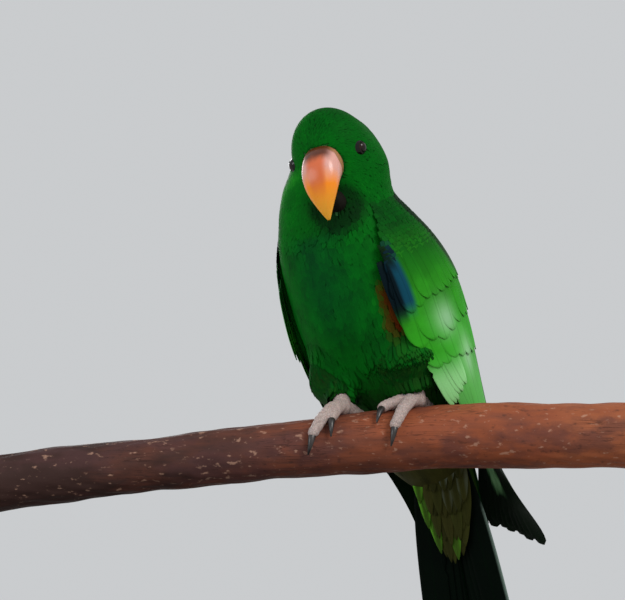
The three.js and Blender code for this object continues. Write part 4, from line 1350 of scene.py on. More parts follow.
def make_feet(settings):
    skin = scale_finish("scaly foot skin", settings.skin, settings.crease, settings.scale)
    horn = horn_finish("claw horn", settings.claw, settings.claw_sheen)
    for name, leg in LEGS.items():
        parts = []
        for toe, plates in zip(leg["toes"], (9, 9, 7, 7)):
            relief = scutes(plates, 0.55)
            parts.append(loft(tube_rings(toe_path(leg, toe), TOE_RADII, 46, 28, relief)))
        _, ankle, foot = leg_points(leg)
        shank = np.array([mix(foot, ankle, share) for share in (0, 0.5, 1.15)])
        shank = carry(TRUNK_TO_PERCH, shank)
        parts.append(loft(tube_rings(shank, SHANK_RADII, 26, 28, scutes(4, 0.4))))
        toes, node = f"toes_{name}", f"foot_{name}"
        fused_piece(toes, PERCH_FRAME, parts, 0.42, 2, skin, "scaly_skin", node)
        for i, toe in enumerate(leg["toes"], 1):
            made = loft(tube_rings(claw_path(leg, toe), CLAW_RADII, 26, 18))
            talon, claw = f"talon_{name}_{i}", f"claw_{name}_{i}"
            closed_piece(talon, PERCH_FRAME, made, horn, "dark_claw", claw)


# Wings and tail: long feathers as thin curved vanes

BLADE = ((0, 0.5), (0.3, 0.9), (0.7, 1), (0.9, 0.9), (0.98, 0.6), (1, 0.25))
FLIGHT = ((0, 0.5), (0.28, 0.92), (0.66, 1), (0.88, 0.84), (0.97, 0.5), (1, 0.16))
POINTED = ((0, 0.5), (0.3, 1), (0.6, 0.9), (0.85, 0.52), (0.96, 0.22), (1, 0.06))
ROUNDED = ((0, 0.62), (0.45, 0.98), (0.76, 1), (0.92, 0.72), (1, 0.2))
SHAFT_HALF, EDGE_HALF = 0.3, 0.04  # half the thickness of a vane at its shaft and at its edges


def vane_mesh(outline, width, locate, rows, columns, rng, splits):
    """A long feather: locate places share along, millimetres aside, share aside and height."""
    t = np.linspace(0, 1, rows) ** 0.92
    u = np.linspace(-1, 1, columns)
    notch = np.ones((rows, columns))
    for _ in range(splits):
        at, side = rng.uniform(0.45, 0.93), rng.choice((-1, 1))
        notch -= 0.3 * hill(t, at, 0.012)[:, None] * ease(0.45, 1, u * side)[None, :]
    aside = u[None, :] * between(outline, t) * notch
    half = mix(SHAFT_HALF, EDGE_HALF, np.abs(u))[None, :] * np.ones((rows, 1))
    along = t[:, None] * np.ones((1, columns))
    off = aside * width / 2
    sheets = [locate(along, off, aside, rise).reshape(-1, 3) for rise in (half, -half)]
    under = rows * columns
    faces = [tuple(f) for f in grid_faces(rows, columns)]
    faces += [tuple(reversed(f)) for f in grid_faces(rows, columns, under)]
    index = np.arange(under).reshape(rows, columns)
    edge = [*index[0], *index[1:, -1], *index[-1, -2::-1], *index[-2:0:-1, 0]]
    faces += [(b, a, under + a, under + b) for a, b in zip(edge, edge[1:] + edge[:1])]
    uv = np.tile(np.stack([(aside + 1) / 2, along], -1).reshape(-1, 2), (2, 1))
    return np.concatenate(sheets), faces, uv, np.repeat([1.0, 0.0], under)


class Plume:
    """Gathers long feathers into one piece, each with its marks and its field of the bake map."""

    COLUMNS = 12

    def __init__(self):
        self.parts = []
        self.values = {name: [] for name in ("uv", "bake", "size", "soft", *MARKS)}

    def add(self, made, width, length, marks, soft):
        points, faces, uv, face = made
        row, column = divmod(len(self.parts), self.COLUMNS)
        self.parts.append((points, faces))
        top = face > 0.5
        half = np.column_stack([uv[:, 0] * 0.46 + np.where(top, 0.0, 0.5), uv[:, 1] * 0.96])
        found = dict(marks)
        found["uv"] = uv
        found["bake"] = (np.array([column, row]) + half + 0.02) / self.COLUMNS
        found["size"] = np.tile((width, length, 1), (len(points), 1))
        found["soft"] = soft * np.where(top, 1.0, -1.0)[:, None]
        for name, rows in self.values.items():
            value = found.get(name, 0.0)
            rows.append(np.broadcast_to(value, (len(points),)) if name in MARKS else value)

    def piece(self, name, finish, place, slot, node):
        points, faces = join_points(self.parts)
        obj = new_piece(name, carry(place, points), faces, finish)
        values = {label: np.concatenate(rows) for label, rows in self.values.items()}
        lay_uv(obj.data, "Vane", values.pop("uv"))
        lay_uv(obj.data, "OFBake", values.pop("bake"))
        values["soft"] = values["soft"] @ place[:3, :3].T
        for label, found in values.items():
            mark(obj.data, label, found)
        return finish_piece(outward(obj), slot, node)


def wing_at(side, down, angle, lift):
    """A point over the wing's guide: depth below its top, degrees round the body, and lift."""
    down, angle, lift = np.broadcast_arrays(*(np.asarray(v, float) for v in (down, angle, lift)))
    width, breast, back, shift, sway = np.moveaxis(between(WING_GUIDE, -down), -1, 0)
    turn = np.radians(angle)
    depth = np.where(np.cos(turn) > 0, breast, back)
    splay = WING_SPLAY["left" if side > 0 else "right"]
    out = (width + lift) * np.sin(turn) + splay * np.maximum(0, down - SPLAY_FROM)
    return np.stack([sway + side * out, shift - (depth + lift) * np.cos(turn), -down], -1)


def wing_normal(side, down, angle):
    ahead = wing_at(side, down, angle + 2, 3) - wing_at(side, down, angle - 2, 3)
    below = wing_at(side, down + 2, angle, 3) - wing_at(side, down - 2, angle, 3)
    return unit(np.cross(ahead, below)) * -side


# Tiers of the wing: name, how many, width, tilt, outline, then depth, angle and lift
# of root and tip for the foremost and for the rearmost feather
WING_TIERS = (
    ("primary", 10, 11, 0.8, BLADE)
    + (((18, 60, 1.4), (148, 136, 0.2)), ((18, 96, 1.4), (136, 167, 0.3))),
    ("secondary", 10, 13, 0.4, FLIGHT)
    + (((8, 60, 2.6), (64, 79, 4.0)), ((0, 134, 2.6), (101, 125, 4.2))),
    ("tertial", 5, 13, 0.4, FLIGHT)
    + (((-8, 134, 3.0), (92, 129, 4.8)), ((-14, 154, 2.8), (52, 150, 4.6))),
    ("primary covert", 7, 7.5, 0.45, FLIGHT)
    + (((-6, 50, 2.4), (52, 62, 4.2)), ((-4, 66, 2.6), (44, 80, 4.8))),
    ("alula", 4, 6.5, 0.4, FLIGHT)
    + (((-30, 46.5, 1.8), (8, 50, 4.0)), ((-24, 50, 2.4), (14, 57, 4.8))),
    ("greater covert", 11, 14, 0.34, ROUNDED)
    + (((-12, 56, 3.0), (30, 61, 4.8)), ((-12, 148, 3.0), (34, 142, 4.6))),
    ("median covert", 11, 13, 0.34, ROUNDED)
    + (((-26, 54, 3.0), (18, 54, 5.3)), ((-26, 146, 2.8), (9, 143, 5.0))),
    ("lesser covert", 14, 10, 0.3, ROUNDED)
    + (((-38, 54, 1.6), (-3, 54, 5.5)), ((-38, 144, 1.4), (-10, 142, 5.2))),
)
RIGHT_WING_BACK = 5  # degrees by which the breast's feathers hide the right wing's front edge
WING_TOP, WING_FOOT = -54, 52  # reach of the wing's flesh, down from the guide's middle
# Flesh of a wing: depth, angle of its front and its back, thickness
WING_FLESH = (
    (-54, 70, 128, -1.2),
    (-46, 61, 142, 0.4),
    (-30, 53, 149, 2.6),
    (-10, 49, 152, 3.3),
    (10, 49, 153, 3),
    (26, 54, 153, 2.4),
    (40, 62, 150, 1.6),
    (52, 72, 142, 0.6),
)
# Small coverts: depth and the angles of the front and back feather, then depth and
# height of roots, and of tips
COVERT_REACH = ((-66, 70, 126), (-54, 63, 136), (-46, 58, 145), (-30, 51, 151), (-14, 47, 153))
COVERT_ROOTS = ((-66, -3.2), (-56, -1.2), (-46, 0.8), (-30, 3.2), (-12, 3.8))
COVERT_TIPS = ((-60, -0.6), (-52, 0.4), (-44, 2.0), (-32, 4.6), (-16, 6.0), (0, 6.2))


def wing_marks(kind, side, down, angle, face, rng):
    """Colours of a wing feather's points from their place on the wing and the side they face, with
    painted highlights, painted sunlight on the first flight feathers and painted shade behind the
    wing.
    """
    top = face > 0.5
    shoulder = 1 - ease(-44, -6, down)
    tone = 0.76 + rng.normal(0, 0.02) + 0.15 * ease(-10, 24, down) + 0.06 * ease(60, 90, down)
    tone = tone - 0.36 * shoulder - 0.16 * ease(118, 150, angle)
    # Painted highlights: the pale and silver spots stand in for light falling brightest on the
    # folded wing; the lower wing is paled as well.
    pale = 0.6 * hill(down, 8, 9) * hill(angle, 76, 9)
    pale = pale + 0.6 * hill(down, 30, 11) * hill(angle, 90, 8)
    pale = pale + 0.25 * ease(20, 44, down) * (1 - ease(110, 130, angle))
    silver = 0.3 * hill(down, 8, 6) * hill(angle, 77, 6)
    silver = silver + 0.3 * hill(down, 32, 8) * hill(angle, 91, 4)
    seen = 1.0 if side > 0 else 0.1
    blue = seen * (1 - ease(56, 59, angle)) * band(down, -34, -26, -8, 3)
    top_dark = seen * (1 - ease(53, 56, angle)) * band(down, -42, -36, -29, -21)
    edge = seen * (1 - ease(49.5, 51.5, angle)) * band(down, -42, -36, -4, 6)
    # Painted shade: a dark crescent behind the wing's rear edge, where the back lies in shade,
    # strongest near the shoulder and fading rearward.
    behind = angle - 99 - 7 * np.clip((down + 44) / 34, 0, 1)
    painted_back_shade = band(behind, -1, 3.5, 2, 38) * (1 - ease(-22, 0, down))
    tone = tone - 0.15 * painted_back_shade
    black = np.maximum(np.maximum(0.9 * edge, 0.68 * painted_back_shade), 0.85 * top_dark)
    dark, sunlit_green_strip = 0.4, 0 * angle  # the first flight feathers' green strip, painted bright as if sunlit
    if kind == "primary":
        # Painted light: the strip's lime, pale and silver brighten it as if in sunlight, though the
        # perch shades it.
        sunlit_green_strip = band(angle, 135, 137, 145, 148) * (1 - ease(114, 119, down)) * (side > 0)
        black = np.maximum(black, 0.97 * ease(60, 88, down)) * (1 - 0.95 * sunlit_green_strip)
        blue = np.maximum(blue, 0.45 * band(down, 36, 60, 84, 104)) * (1 - sunlit_green_strip)
        tone = tone - 0.1 + 0.2 * sunlit_green_strip
        dark = 0.97 * (1 - 0.97 * sunlit_green_strip)
    if kind == "primary covert":
        pale = pale + 0.6 * ease(26, 40, down)
    if side < 0:
        dark = dark * ease(-14, 26, down)
    lime = 0.12 * (1 - shoulder)
    return {
        "tone": tone,
        "blue": blue,
        "pale": np.where(top, pale, 0.7 * sunlit_green_strip),
        "silver": np.where(top, silver, 0.35 * sunlit_green_strip),
        "lime": np.where(top, lime, np.maximum(lime, 0.8 * sunlit_green_strip)),
        "black": np.where(top, black, np.maximum(black, dark)),
    }


def wing_plume(side, seed):
    """The wing's long feathers, tier by tier."""
    rng = np.random.default_rng(seed)
    plume = Plume()
    for tier, count, width, tilt, outline, front, back in WING_TIERS:
        hidden = np.array((0, RIGHT_WING_BACK, -1.6)) * (side < 0 and front[0][1] < 58)
        for i in range(count):
            share = i / (count - 1)
            root, tip = (mix(np.array(a) + hidden, np.array(b), share) for a, b in zip(front, back))
            tip = tip + (rng.uniform(-1.8, 1.8), rng.uniform(-0.6, 0.6), rng.uniform(-0.12, 0.12))
            along, across = tip[0] - root[0], math.radians(tip[1] - root[1]) * WING_ROUND
            length = math.hypot(along, across)
            aside = np.array([-across / length, math.degrees(along / length / WING_ROUND)])
            bend = rng.uniform(-0.6, 0.6)

            def spot(t, off, root=root, tip=tip, aside=aside):
                return (mix(root[k], tip[k], t) + aside[k] * off for k in (0, 1))

            def locate(t, off, web, height, root=root, tip=tip, tilt=tilt, bend=bend, spot=spot):
                bow = np.sin(t * math.pi)
                lift = mix(root[2], tip[2], t**0.8) + 0.3 * bow - tilt * web - 0.25 * web**2
                return wing_at(side, *spot(t, off + bend * bow), lift + height)

            rows, splits = (30, 2) if length > 60 else (18, 0)
            made = vane_mesh(outline, width, locate, rows, 9, rng, splits)
            uv, face = made[2:]
            down, angle = spot(uv[:, 1], (uv[:, 0] * 2 - 1) * width / 2)
            marks = wing_marks(tier, side, down, angle, face, rng)
            plume.add(made, width, length, marks, wing_normal(side, down, angle))
    return plume


def wing_body(side):
    """The wing's flesh under its feathers."""
    downs, share = np.linspace(WING_TOP, WING_FOOT, 40), np.linspace(0, 1, 26)
    crown = 1 - np.abs(2 * share - 1) ** 3
    rings = []
    for down, (front, back, thick) in zip(downs, between(WING_FLESH, downs)):
        front = front + (2.4 * RIGHT_WING_BACK if side < 0 else 0)
        thickness = mix(min(thick * 0.3, thick), thick, crown)
        outer = wing_at(side, down, mix(front, back, share), thickness)
        inner = wing_at(side, down, mix(back, front, share), -1.4)
        rings.append(np.concatenate([outer, inner]))
    return loft(rings)


def wing_coverts(name, side, feather, finish, seed):
    """Small coverts on the shoulder of the wing."""
    rng = np.random.default_rng(seed)
    downs, angles = [], []
    down = -65.0
    while down < -19:
        front, back = between(COVERT_REACH, down)
        front = front + (RIGHT_WING_BACK if side < 0 else 0)
        count = int((back - front) / 180 * math.pi * 43 / 2.5)
        stagger = 0.5 * (len(downs) % 2) + rng.uniform(-0.15, 0.15, count)
        angles.append(front + (np.arange(count) + stagger) / count * (back - front))
        downs.append(np.full(count, down) + rng.uniform(-0.5, 0.5, count))
        down += mix(2.0, 2.7, (down + 65) / 51)
    down, angle = np.concatenate(downs), np.concatenate(angles)
    sunk = 1.4 * (1 - ease(60, 78, angle)) * (side < 0)
    roots = wing_at(side, down, angle, between(COVERT_ROOTS, down)[:, 0] - sunk)
    length = mix(7, 11, ease(-54, -18, down)) * rng.uniform(0.9, 1.1, len(down))
    slant = (angle - 98) * 0.04 + rng.normal(0, 0.9, len(down))
    rise = between(COVERT_TIPS, down + length * 0.6)[:, 0] - sunk
    chord = wing_at(side, down + length, angle - slant, rise) - roots
    normal = wing_normal(side, down + length / 2, angle)
    size = np.stack([length * 0.56, np.linalg.norm(chord, axis=1), length * 0.22], -1)
    marks = wing_marks("lesser covert", side, down + length, angle, np.ones(len(down)), rng)
    marks["tone"] = marks["tone"] + rng.normal(0, 0.03, len(down))
    marks["black"] = np.maximum(marks["black"], 0.75 * marks["blue"])
    bake = np.stack([0.05 + 0.9 * (down + 66) / 56, 0.05 + 0.9 * (angle - 45) / 110], -1)
    grow_coat(name, "wing_feathers", feather, finish, (roots, chord, normal, size, bake), marks)


def flesh_marks(count, **values):
    return {label: np.full(count, values.get(label, 0.0)) for label in MARKS}


def make_wings(colours):
    finish = plumage_finish("wing feathers", colours, 0.7, 0.45, 0.55)
    under = plumage_finish("wing coverts", colours, 0.55, 0.5, 0.7)
    feather = feather_shape("covert", SCALE_OUTLINE, 8, 5, 0.1, 0.08, 0.0, 0.12)
    # Painted light: the right wing's flesh takes a lighter tone than the left's, standing in for
    # light on its front edge, which lies in shade.
    for name, side, seed, tone in (("left", 1, 4021, 0.35), ("right", -1, 977, 0.6)):
        plume, node = wing_plume(side, seed), f"wing_{name}"
        plume.piece(f"wing_vanes_{name}", finish, TRUNK_FRAME, "wing_feathers", node)
        made = wing_body(side)
        marks = flesh_marks(len(made[0]), tone=tone)
        flesh = f"wing_flesh_{name}"
        closed_piece(flesh, TRUNK_FRAME, made, under, "wing_feathers", **marks)
        wing_coverts(f"wing_coverts_{name}", side, feather, under, seed + 5)


# Tail coverts: side, how many, width, spread, drop and height of root and of tip,
# inset of the outer ones
TAIL_COVERTS = (
    ("upper", 7, 10, (12, -2, 3.2), (14, -44, 2.2), 8),
    ("upper", 8, 10, (12, 4, 4.6), (13, -28, 4.0), 5),
    ("upper", 8, 9, (11, 10, 6), (12, -12, 6), 4),
    ("under", 7, 9, (12, -8, -6.4), (8, -57, -7.4), 7),
    ("under", 9, 8.5, (13, -2, -7.2), (12, -46, -8.4), 9),
    ("under", 11, 8, (14, 4, -8), (14, -32, -9.6), 8),
    ("under", 11, 8, (14, 12, -8.8), (14, -16, -10.6), 6),
)
TAIL_PAIRS = 6
TAIL_SEED = 6143
# Flesh of the tail: height, half its width, depth below and above its middle
TAIL_FLESH = (
    (8, 14, 8, 6),
    (0, 16, 8, 6),
    (-10, 17, 7, 5),
    (-20, 17.5, 6, 3.4),
    (-28, 17, 4.4, 1.6),
)


def tail_vanes(plume, rng):
    """Six pairs of long feathers, the outer ones shorter and lower."""
    for pair in range(TAIL_PAIRS):
        for side in (1, -1):
            share = pair / (TAIL_PAIRS - 1)
            length = TAIL_LENGTH - 7 * share**2 + rng.uniform(-1, 1)
            layer = -0.92 * (pair + 1 if pair else int(side < 0))

            def locate(t, off, web, height, side=side, share=share, length=length, layer=layer):
                x = mix(side * (1 + 11 * share), side * (1 + 20 * share), t) + off
                if share > 0:
                    x = side * np.maximum(side * x, 0.7 - 0.4 * web * side)
                y = 1.5 + layer - 0.0016 * x * x + height
                return np.stack([x, y, -4 - t * (length - 4)], -1)

            made = vane_mesh(FLIGHT, 17, locate, 44, 9, rng, 1)
            uv, top = made[2], made[3] > 0.5
            outer = pair == TAIL_PAIRS - 1 and side > 0
            edge = ease(0.8, 0.92, uv[:, 0] * 2 - 1) * outer
            tip = ease(0.965, 0.99, uv[:, 1])
            upper_black = 0.15 + 0.5 * share * ease(0.3, 0.8, uv[:, 1])
            black = np.where(top, upper_black, 0.96 * (1 - 0.75 * edge))
            marks = {
                "tone": 0.45 - 0.1 * share,
                "black": black * (1 - 0.4 * tip),
                "blue": np.where(top, 0.55 * share, 0),
                "pale": tip * 0.3,
                "silver": 0.6 * edge,
            }
            plume.add(made, 17, length, marks, np.tile((0.0, 1.0, 0.0), (len(uv), 1)))


def under_covert_marks(place, count, uv, seen, rng):
    """Olive feathers under the tail, with lime tips on the outer and some of the middle ones."""
    along, rim = uv[:, 1], ease(0.25, 0.7, np.abs(uv[:, 0] * 2 - 1))
    glow = 0.95 * (place < -0.7) + 0.9 * (0.2 < place < 0.62) * (count == 7)
    glow = glow + 0.1 * rng.uniform()
    lit = np.clip(glow * ease(0.25, 0.7, along) * mix(0.45, 1, rim), 0, 1)
    streak = 0.5 * (place > 0.1) * (count == 11) * rng.uniform()
    return {
        "tone": 0.22 + rng.normal(0, 0.08),
        "lime": np.where(seen, lit, 0),
        "olive": 0.95 - 0.9 * np.where(seen, lit, 0),
        "silver": np.where(seen, streak * rim * ease(0.2, 0.6, along), 0),
        "black": (0.05 + 0.35 * rng.uniform()) * (1 - lit) * mix(1, 0.3, rim),
    }


def tail_coverts(plume, rng):
    """Rows of shorter feathers over the roots of the tail, above and below."""
    for kind, count, width, root, tip, inset in TAIL_COVERTS:
        for i in range(count):
            place = i / (count - 1) * 2 - 1 + rng.uniform(-0.06, 0.06)
            drop = tip[1] + inset * place**2 + rng.uniform(-2, 2)
            layer = (0.35 if i % 2 else -0.35) + rng.uniform(-0.15, 0.15)
            rise = math.copysign(1, root[2])
            ends = (root, (tip[0], drop, tip[2]))

            def locate(t, off, web, height, place=place, layer=layer, rise=rise, ends=ends):
                half, z, y = (mix(a, b, t) for a, b in zip(*ends))
                x = half * place + off
                return np.stack([x, y + layer - rise * 0.006 * x * x + height, z], -1)

            outline = POINTED if kind == "under" else ROUNDED
            made = vane_mesh(outline, width, locate, 18, 7, rng, 0)
            uv, face = made[2:]
            if kind == "under":
                marks = under_covert_marks(place, count, uv, face < 0.5, rng)
            else:
                tone = 0.5 + rng.normal(0, 0.05)
                marks = {"tone": tone, "black": np.where(face > 0.5, 0, 0.6)}
            soft = np.tile((0.0, 1.0, 0.0), (len(uv), 1))
            plume.add(made, width, abs(root[1] - drop), marks, soft)


def tail_body():
    turn = round_angles(40)
    rings = []
    for z, half, below, above in TAIL_FLESH:
        y = np.sin(turn) * np.where(np.sin(turn) < 0, below, above)
        rings.append(np.stack([half * np.cos(turn), y, np.full(len(turn), z)], -1))
    return loft(rings)


def make_tail(colours):
    finish = plumage_finish("tail feathers", colours, 0.7, 0.45, 0.3)
    rng = np.random.default_rng(TAIL_SEED)
    plume = Plume()
    tail_vanes(plume, rng)
    tail_coverts(plume, rng)
    plume.piece("tail_vanes", finish, TAIL_FRAME, "tail_feathers", "tail")
    made = tail_body()
    marks = flesh_marks(len(made[0]), tone=0.35, olive=0.35)
    closed_piece("tail_flesh", TAIL_FRAME, made, finish, "tail_feathers", **marks)


# Perch and stand

# Knots of the branch: along it, degrees round it, breadth, height
KNOTS = ((-92, 150, 9, 1.3), (60, 35, 7, 1.0), (118, 250, 8, 1.1), (-150, 300, 8, 1.2))
CUT_RINGS = (0.04, 0.2, 0.4, 0.6, 0.8)


def make_perch(settings):
    finish = wood_finish("weathered wood", settings)
    rows, sides = 260, 110
    x = np.linspace(-PERCH_LENGTH / 2, PERCH_LENGTH / 2, rows) - BIRD_X
    angle = np.linspace(0, 360, sides, endpoint=False)
    height = between(PERCH, x)[:, 0]
    place = on_perch(x[:, None], angle[None, :], 0.0)
    furrow = wander(place * (0.35, 1, 1), 5, 3)
    lumps = wander(place, 30, 12)
    out = unit(place - np.stack([x, 0 * x, height], -1)[:, None])
    place = place + out * (0.22 * furrow + 0.3 * lumps - 0.35)[..., None]
    for at, turn, size, rise in KNOTS:
        far = np.linalg.norm(place - on_perch(at, turn, 0), axis=-1)
        knot = rise * hill(far, 0, size) - 1.2 * rise * hill(far, 0, size * 0.35)
        place = place + out * knot[..., None]
    ends = [[mix(place[k], place[k].mean(0), share) for share in CUT_RINGS] for k in (0, -1)]
    points, faces = loft(ends[0][::-1] + list(place) + ends[1])
    end = np.ones(len(CUT_RINGS) * sides)
    cut = np.concatenate([end, np.zeros(rows * sides), end, [1, 1]])
    far = np.hypot(points[:, 1], points[:, 2] - between(PERCH, points[:, 0])[:, 0])
    made, marks = (points, faces), {"cut": cut, "radius": far}
    closed_piece("branch", PERCH_FRAME, made, finish, "rough_wood", "perch", **marks)


def make_stand(settings):
    base = stand_finish("satin lacquer", settings.base, 0.42)
    rod = stand_finish("rod lacquer", settings.rod, 0.3)
    for name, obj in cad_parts.items():
        if name.startswith("stand_"):
            obj.data.materials.clear()
            obj.data.materials.append(base if name == "stand_base" else rod)


# Stage: floor, light and camera

CAMERA_AT = (-1.5, -681.4, 35.1)
CAMERA_TARGET = (-1.5, -14.9, 213.7)
LIGHT_TARGET = (0, 0, 0.24)
FLOOR_HALF = 6000


def aimed(obj, at, target):
    """Sets a lamp or a camera at a point in metres, looking at another."""
    obj.location = at
    obj.rotation_euler = (Vector(target) - Vector(at)).to_track_quat("-Z", "Y").to_euler()
    return link(obj)


def soft_light(name, at, spread, power, colour):
    """A far soft light that shines on the bird."""
    data = bpy.data.lights.new(name, "SUN")
    data.angle = math.radians(spread)
    data.energy = power
    data.color = colour
    return aimed(bpy.data.objects.new(name, data), at, LIGHT_TARGET)


def make_stage(settings):
    finish = Finish("studio floor", Roughness=0.85, Specular_IOR_Level=0.2)
    darker = tuple(c * 0.96 for c in settings.floor)
    cloud = finish.noise(finish.place(), 3, 3)
    finish.drive(Base_Color=finish.blend(settings.floor, darker, cloud))
    corners = [(x * FLOOR_HALF, y * FLOOR_HALF, 0) for x, y in ((-1, -1), (1, -1), (1, 1), (-1, 1))]
    floor = new_piece("floor", corners, [(0, 1, 2, 3)], finish.material, smooth=False)
    lamps = [
        soft_light("key", (0.75, -0.95, 0.95), 26, settings.key, (1.0, 0.97, 0.93)),
        soft_light("fill", (-1.1, -0.6, 0.35), 34, settings.fill, (0.92, 0.96, 1.0)),
        soft_light("rim", (-0.3, 1.0, 0.8), 24, settings.rim, (1.0, 1.0, 1.0)),
    ]
    world = bpy.data.worlds.new("studio")
    world.use_nodes = True
    sky = world.node_tree.nodes["Background"]
    sky.inputs["Color"].default_value = (*settings.air, 1.0)
    sky.inputs["Strength"].default_value = settings.air_strength
    scene = bpy.context.scene
    scene.world = world
    scene.view_settings.view_transform = "Standard"
    data = bpy.data.cameras.new("camera")
    data.lens = settings.lens
    data.sensor_width = 36
    data.clip_start = 0.05
    data.clip_end = 60
    camera = bpy.data.objects.new("camera", data)
    scene.camera = aimed(camera, Vector(CAMERA_AT) * MM, Vector(CAMERA_TARGET) * MM)


# Settings that a user would change


def colour_setting(name, note, default):
    limits = {"subtype": "COLOR", "size": 3, "min": 0, "max": 1}
    return FloatVectorProperty(name=name, description=note, default=default, **limits)


def number_setting(name, note, default, low=0, high=100):
    return FloatProperty(name=name, description=note, default=default, min=low, max=high)


class PlumageSettings(bpy.types.PropertyGroup):
    """Colours of the feathers and how long the body's are"""

    shade: colour_setting("Shade", "Green in the depths between feathers", (0.001, 0.014, 0.003))
    deep: colour_setting("Deep green", "Green of the belly and the back", (0.002, 0.06, 0.006))
    green: colour_setting("Green", "Green of the head and the breast", (0.002, 0.145, 0.008))
    bright: colour_setting("Bright green", "Green of the wing", (0.026, 0.4, 0.018))
    # Lime also paints sunlight on the green strip of the first flight feathers.
    lime: colour_setting("Lime", "Tips of the undertail coverts", (0.15, 0.5, 0.03))
    # Pale green is used as painted highlights on the wing and as the tail's pale tips.
    pale: colour_setting("Pale green", "Light edges on the wing", (0.32, 0.72, 0.3))
    olive: colour_setting("Olive", "Undertail coverts and vent", (0.066, 0.064, 0.016))
    blue: colour_setting("Blue", "Front edge of the wing", (0.006, 0.06, 0.1))
    red: colour_setting("Red", "Flank under the wing", (0.12, 0.018, 0.003))
    # Silver is used as painted highlights on the wing, as well as for the tail's light edge and
    # pale streaks.
    silver: colour_setting("Silver", "Light line along the tail, pale streaks", (0.4, 0.52, 0.47))
    black: colour_setting("Black", "Tail from below and wing tips", (0.003, 0.004, 0.004))
    length: number_setting("Feather length", "Length of the body's feathers", 1, 0.7, 1.3)


class BillSettings(bpy.types.PropertyGroup):
    """Colours of the bill"""

    rose: colour_setting("Rose", "Base of the upper bill's side", (0.42, 0.2, 0.09))
    # Painted reflection of the sky on the upper sides of the bill.
    lilac_sheen: colour_setting("Lilac rose", "Side of the upper bill", (0.74, 0.37, 0.31))
    orange: colour_setting("Orange", "Middle of the upper bill", (1.0, 0.28, 0.002))
    yellow: colour_setting("Yellow", "Tip of the upper bill", (0.88, 0.42, 0.02))
    ridge: colour_setting("Ridge", "Top of the upper bill", (0.66, 0.12, 0.02))
    burnt: colour_setting("Burnt brown", "Dark patch at the ridge's base", (0.085, 0.016, 0.002))
    lower: colour_setting("Lower bill", "The lower bill's black", (0.006, 0.005, 0.003))
    lower_sheen: colour_setting("Lower bill sheen", "Lighter growth lines", (0.014, 0.011, 0.008))


class EyeSettings(bpy.types.PropertyGroup):
    """Colours of the eyes and the lids"""

    iris: colour_setting("Iris", "Ring round the pupil", (0.014, 0.005, 0.002))
    iris_rays: colour_setting("Iris rays", "Fine rays in the iris", (0.04, 0.014, 0.004))
    lid: colour_setting("Lid", "Bare rim of the eye", (0.008, 0.012, 0.008))
    lid_crease: colour_setting("Lid crease", "Creases of the rim", (0.003, 0.004, 0.003))


class FootSettings(bpy.types.PropertyGroup):
    """Colours of the feet and how big their scales are"""

    skin: colour_setting("Skin", "Scales of the toes", (0.5, 0.4, 0.37))
    crease: colour_setting("Crease", "Creases between scales", (0.12, 0.08, 0.075))
    claw: colour_setting("Claw", "Claws' dark horn", (0.012, 0.01, 0.01))
    claw_sheen: colour_setting("Claw sheen", "Growth lines of the claws", (0.07, 0.055, 0.05))
    scale: number_setting("Scale size", "Width of a scale in millimetres", 1.5, 0.5, 3)


class PerchSettings(bpy.types.PropertyGroup):
    """Colours of the branch and of the stand that holds it"""

    dark: colour_setting("Dark grain", "Cracks and deep grain", (0.035, 0.013, 0.01))
    wood: colour_setting("Wood", "Reddish brown of the branch", (0.11, 0.034, 0.021))
    warm: colour_setting("Warm wood", "Lighter grain", (0.27, 0.068, 0.026))
    stain: colour_setting("Stain", "Purple-brown stains", (0.07, 0.026, 0.026))
    glow: colour_setting("Bright wood", "Orange-brown of the sunlit end", (0.38, 0.115, 0.042))
    worn: colour_setting("Worn wood", "Scuffed places", (0.5, 0.29, 0.2))
    cut: colour_setting("Cut end", "Heartwood of the cut ends", (0.36, 0.22, 0.12))
    base: colour_setting("Base", "Lacquer of the stand's base", (0.025, 0.024, 0.023))
    rod: colour_setting("Rods", "Lacquer of the stand's rods", (0.05, 0.048, 0.046))


class StageSettings(bpy.types.PropertyGroup):
    """Floor, light and the camera's lens"""

    floor: colour_setting("Floor", "Plain pale floor", (0.6, 0.59, 0.57))
    air: colour_setting("Air", "Light from all round", (0.84, 0.86, 0.88))
    air_strength: number_setting("Air strength", "Strength of the light from all round", 0.7)
    key: number_setting("Key", "Strength of the main light", 1.5)
    fill: number_setting("Fill", "Strength of the filling light", 0.9)
    rim: number_setting("Rim", "Strength of the light from behind", 0.7)
    lens: number_setting("Lens", "Focal length in millimetres", 77.5, 20, 300)


# Operators


class BuildStep(bpy.types.Operator):
    """Base of the steps that build the model"""

    bl_options = {"REGISTER", "UNDO"}

    @classmethod
    def settings(cls, name):
        return getattr(bpy.context.scene, "parrot_" + name)


class PARROT_OT_skin(BuildStep):
    """Make the skin of the head, body and thighs as one piece"""

    bl_idname = "parrot.skin"
    bl_label = "Skin"

    def execute(self, context):
        make_skin(self.settings("plumage"))
        return {"FINISHED"}


class PARROT_OT_coat(BuildStep):
    """Cover the skin in feathers that lie back over one another"""

    bl_idname = "parrot.coat"
    bl_label = "Body feathers"

    def execute(self, context):
        make_coat(self.settings("plumage"))
        return {"FINISHED"}


class PARROT_OT_wings(BuildStep):
    """Lay the wings' long feathers in tiers, with small coverts on the shoulders"""

    bl_idname = "parrot.wings"
    bl_label = "Wings"

    def execute(self, context):
        make_wings(self.settings("plumage"))
        return {"FINISHED"}


class PARROT_OT_tail(BuildStep):
    """Lay the tail's feathers and their coverts"""

    bl_idname = "parrot.tail"
    bl_label = "Tail"

    def execute(self, context):
        make_tail(self.settings("plumage"))
        return {"FINISHED"}


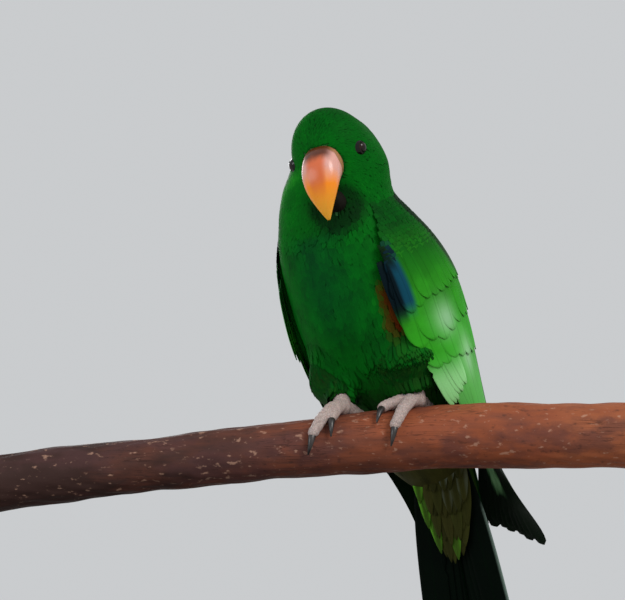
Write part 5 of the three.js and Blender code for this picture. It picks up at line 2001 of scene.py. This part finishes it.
class PARROT_OT_bill(BuildStep):
    """Make both halves of the bill"""

    bl_idname = "parrot.bill"
    bl_label = "Bill"

    def execute(self, context):
        make_bill(self.settings("bill"))
        return {"FINISHED"}


class PARROT_OT_eyes(BuildStep):
    """Set the eyes and the rims of their lids"""

    bl_idname = "parrot.eyes"
    bl_label = "Eyes"

    def execute(self, context):
        make_eyes(self.settings("eyes"))
        return {"FINISHED"}


class PARROT_OT_feet(BuildStep):
    """Close the scaly toes and their claws round the branch"""

    bl_idname = "parrot.feet"
    bl_label = "Feet and claws"

    def execute(self, context):
        make_feet(self.settings("feet"))
        return {"FINISHED"}


class PARROT_OT_perch(BuildStep):
    """Give the cut branch its grain and knots, and the stand its lacquer"""

    bl_idname = "parrot.perch"
    bl_label = "Perch and stand"

    def execute(self, context):
        make_perch(self.settings("perch"))
        make_stand(self.settings("perch"))
        return {"FINISHED"}


class PARROT_OT_stage(BuildStep):
    """Set the floor, the lights and the camera"""

    bl_idname = "parrot.stage"
    bl_label = "Stage"

    def execute(self, context):
        make_stage(self.settings("stage"))
        return {"FINISHED"}


STEPS = (
    PARROT_OT_skin,
    PARROT_OT_coat,
    PARROT_OT_wings,
    PARROT_OT_tail,
    PARROT_OT_bill,
    PARROT_OT_eyes,
    PARROT_OT_feet,
    PARROT_OT_perch,
    PARROT_OT_stage,
)


class PARROT_PT_steps(bpy.types.Panel):
    """The steps in the order in which they run"""

    bl_idname = "PARROT_PT_steps"
    bl_label = "Parrot"
    bl_space_type = "VIEW_3D"
    bl_region_type = "UI"
    bl_category = "Parrot"

    def draw(self, context):
        for step in STEPS:
            self.layout.operator(step.bl_idname)


GROUPS = {
    "plumage": PlumageSettings,
    "bill": BillSettings,
    "eyes": EyeSettings,
    "feet": FootSettings,
    "perch": PerchSettings,
    "stage": StageSettings,
}


def register():
    for name, group in GROUPS.items():
        bpy.utils.register_class(group)
        setattr(bpy.types.Scene, "parrot_" + name, PointerProperty(type=group))
    for step in STEPS:
        bpy.utils.register_class(step)
    bpy.utils.register_class(PARROT_PT_steps)


def unregister():
    bpy.utils.unregister_class(PARROT_PT_steps)
    for step in reversed(STEPS):
        bpy.utils.unregister_class(step)
    for name, group in GROUPS.items():
        delattr(bpy.types.Scene, "parrot_" + name)
        bpy.utils.unregister_class(group)


def main():
    register()
    bpy.ops.parrot.skin()
    bpy.ops.parrot.coat()
    bpy.ops.parrot.wings()
    bpy.ops.parrot.tail()
    bpy.ops.parrot.bill()
    bpy.ops.parrot.eyes()
    bpy.ops.parrot.feet()
    bpy.ops.parrot.perch()
    bpy.ops.parrot.stage()


if __name__ == "__main__":
    main()
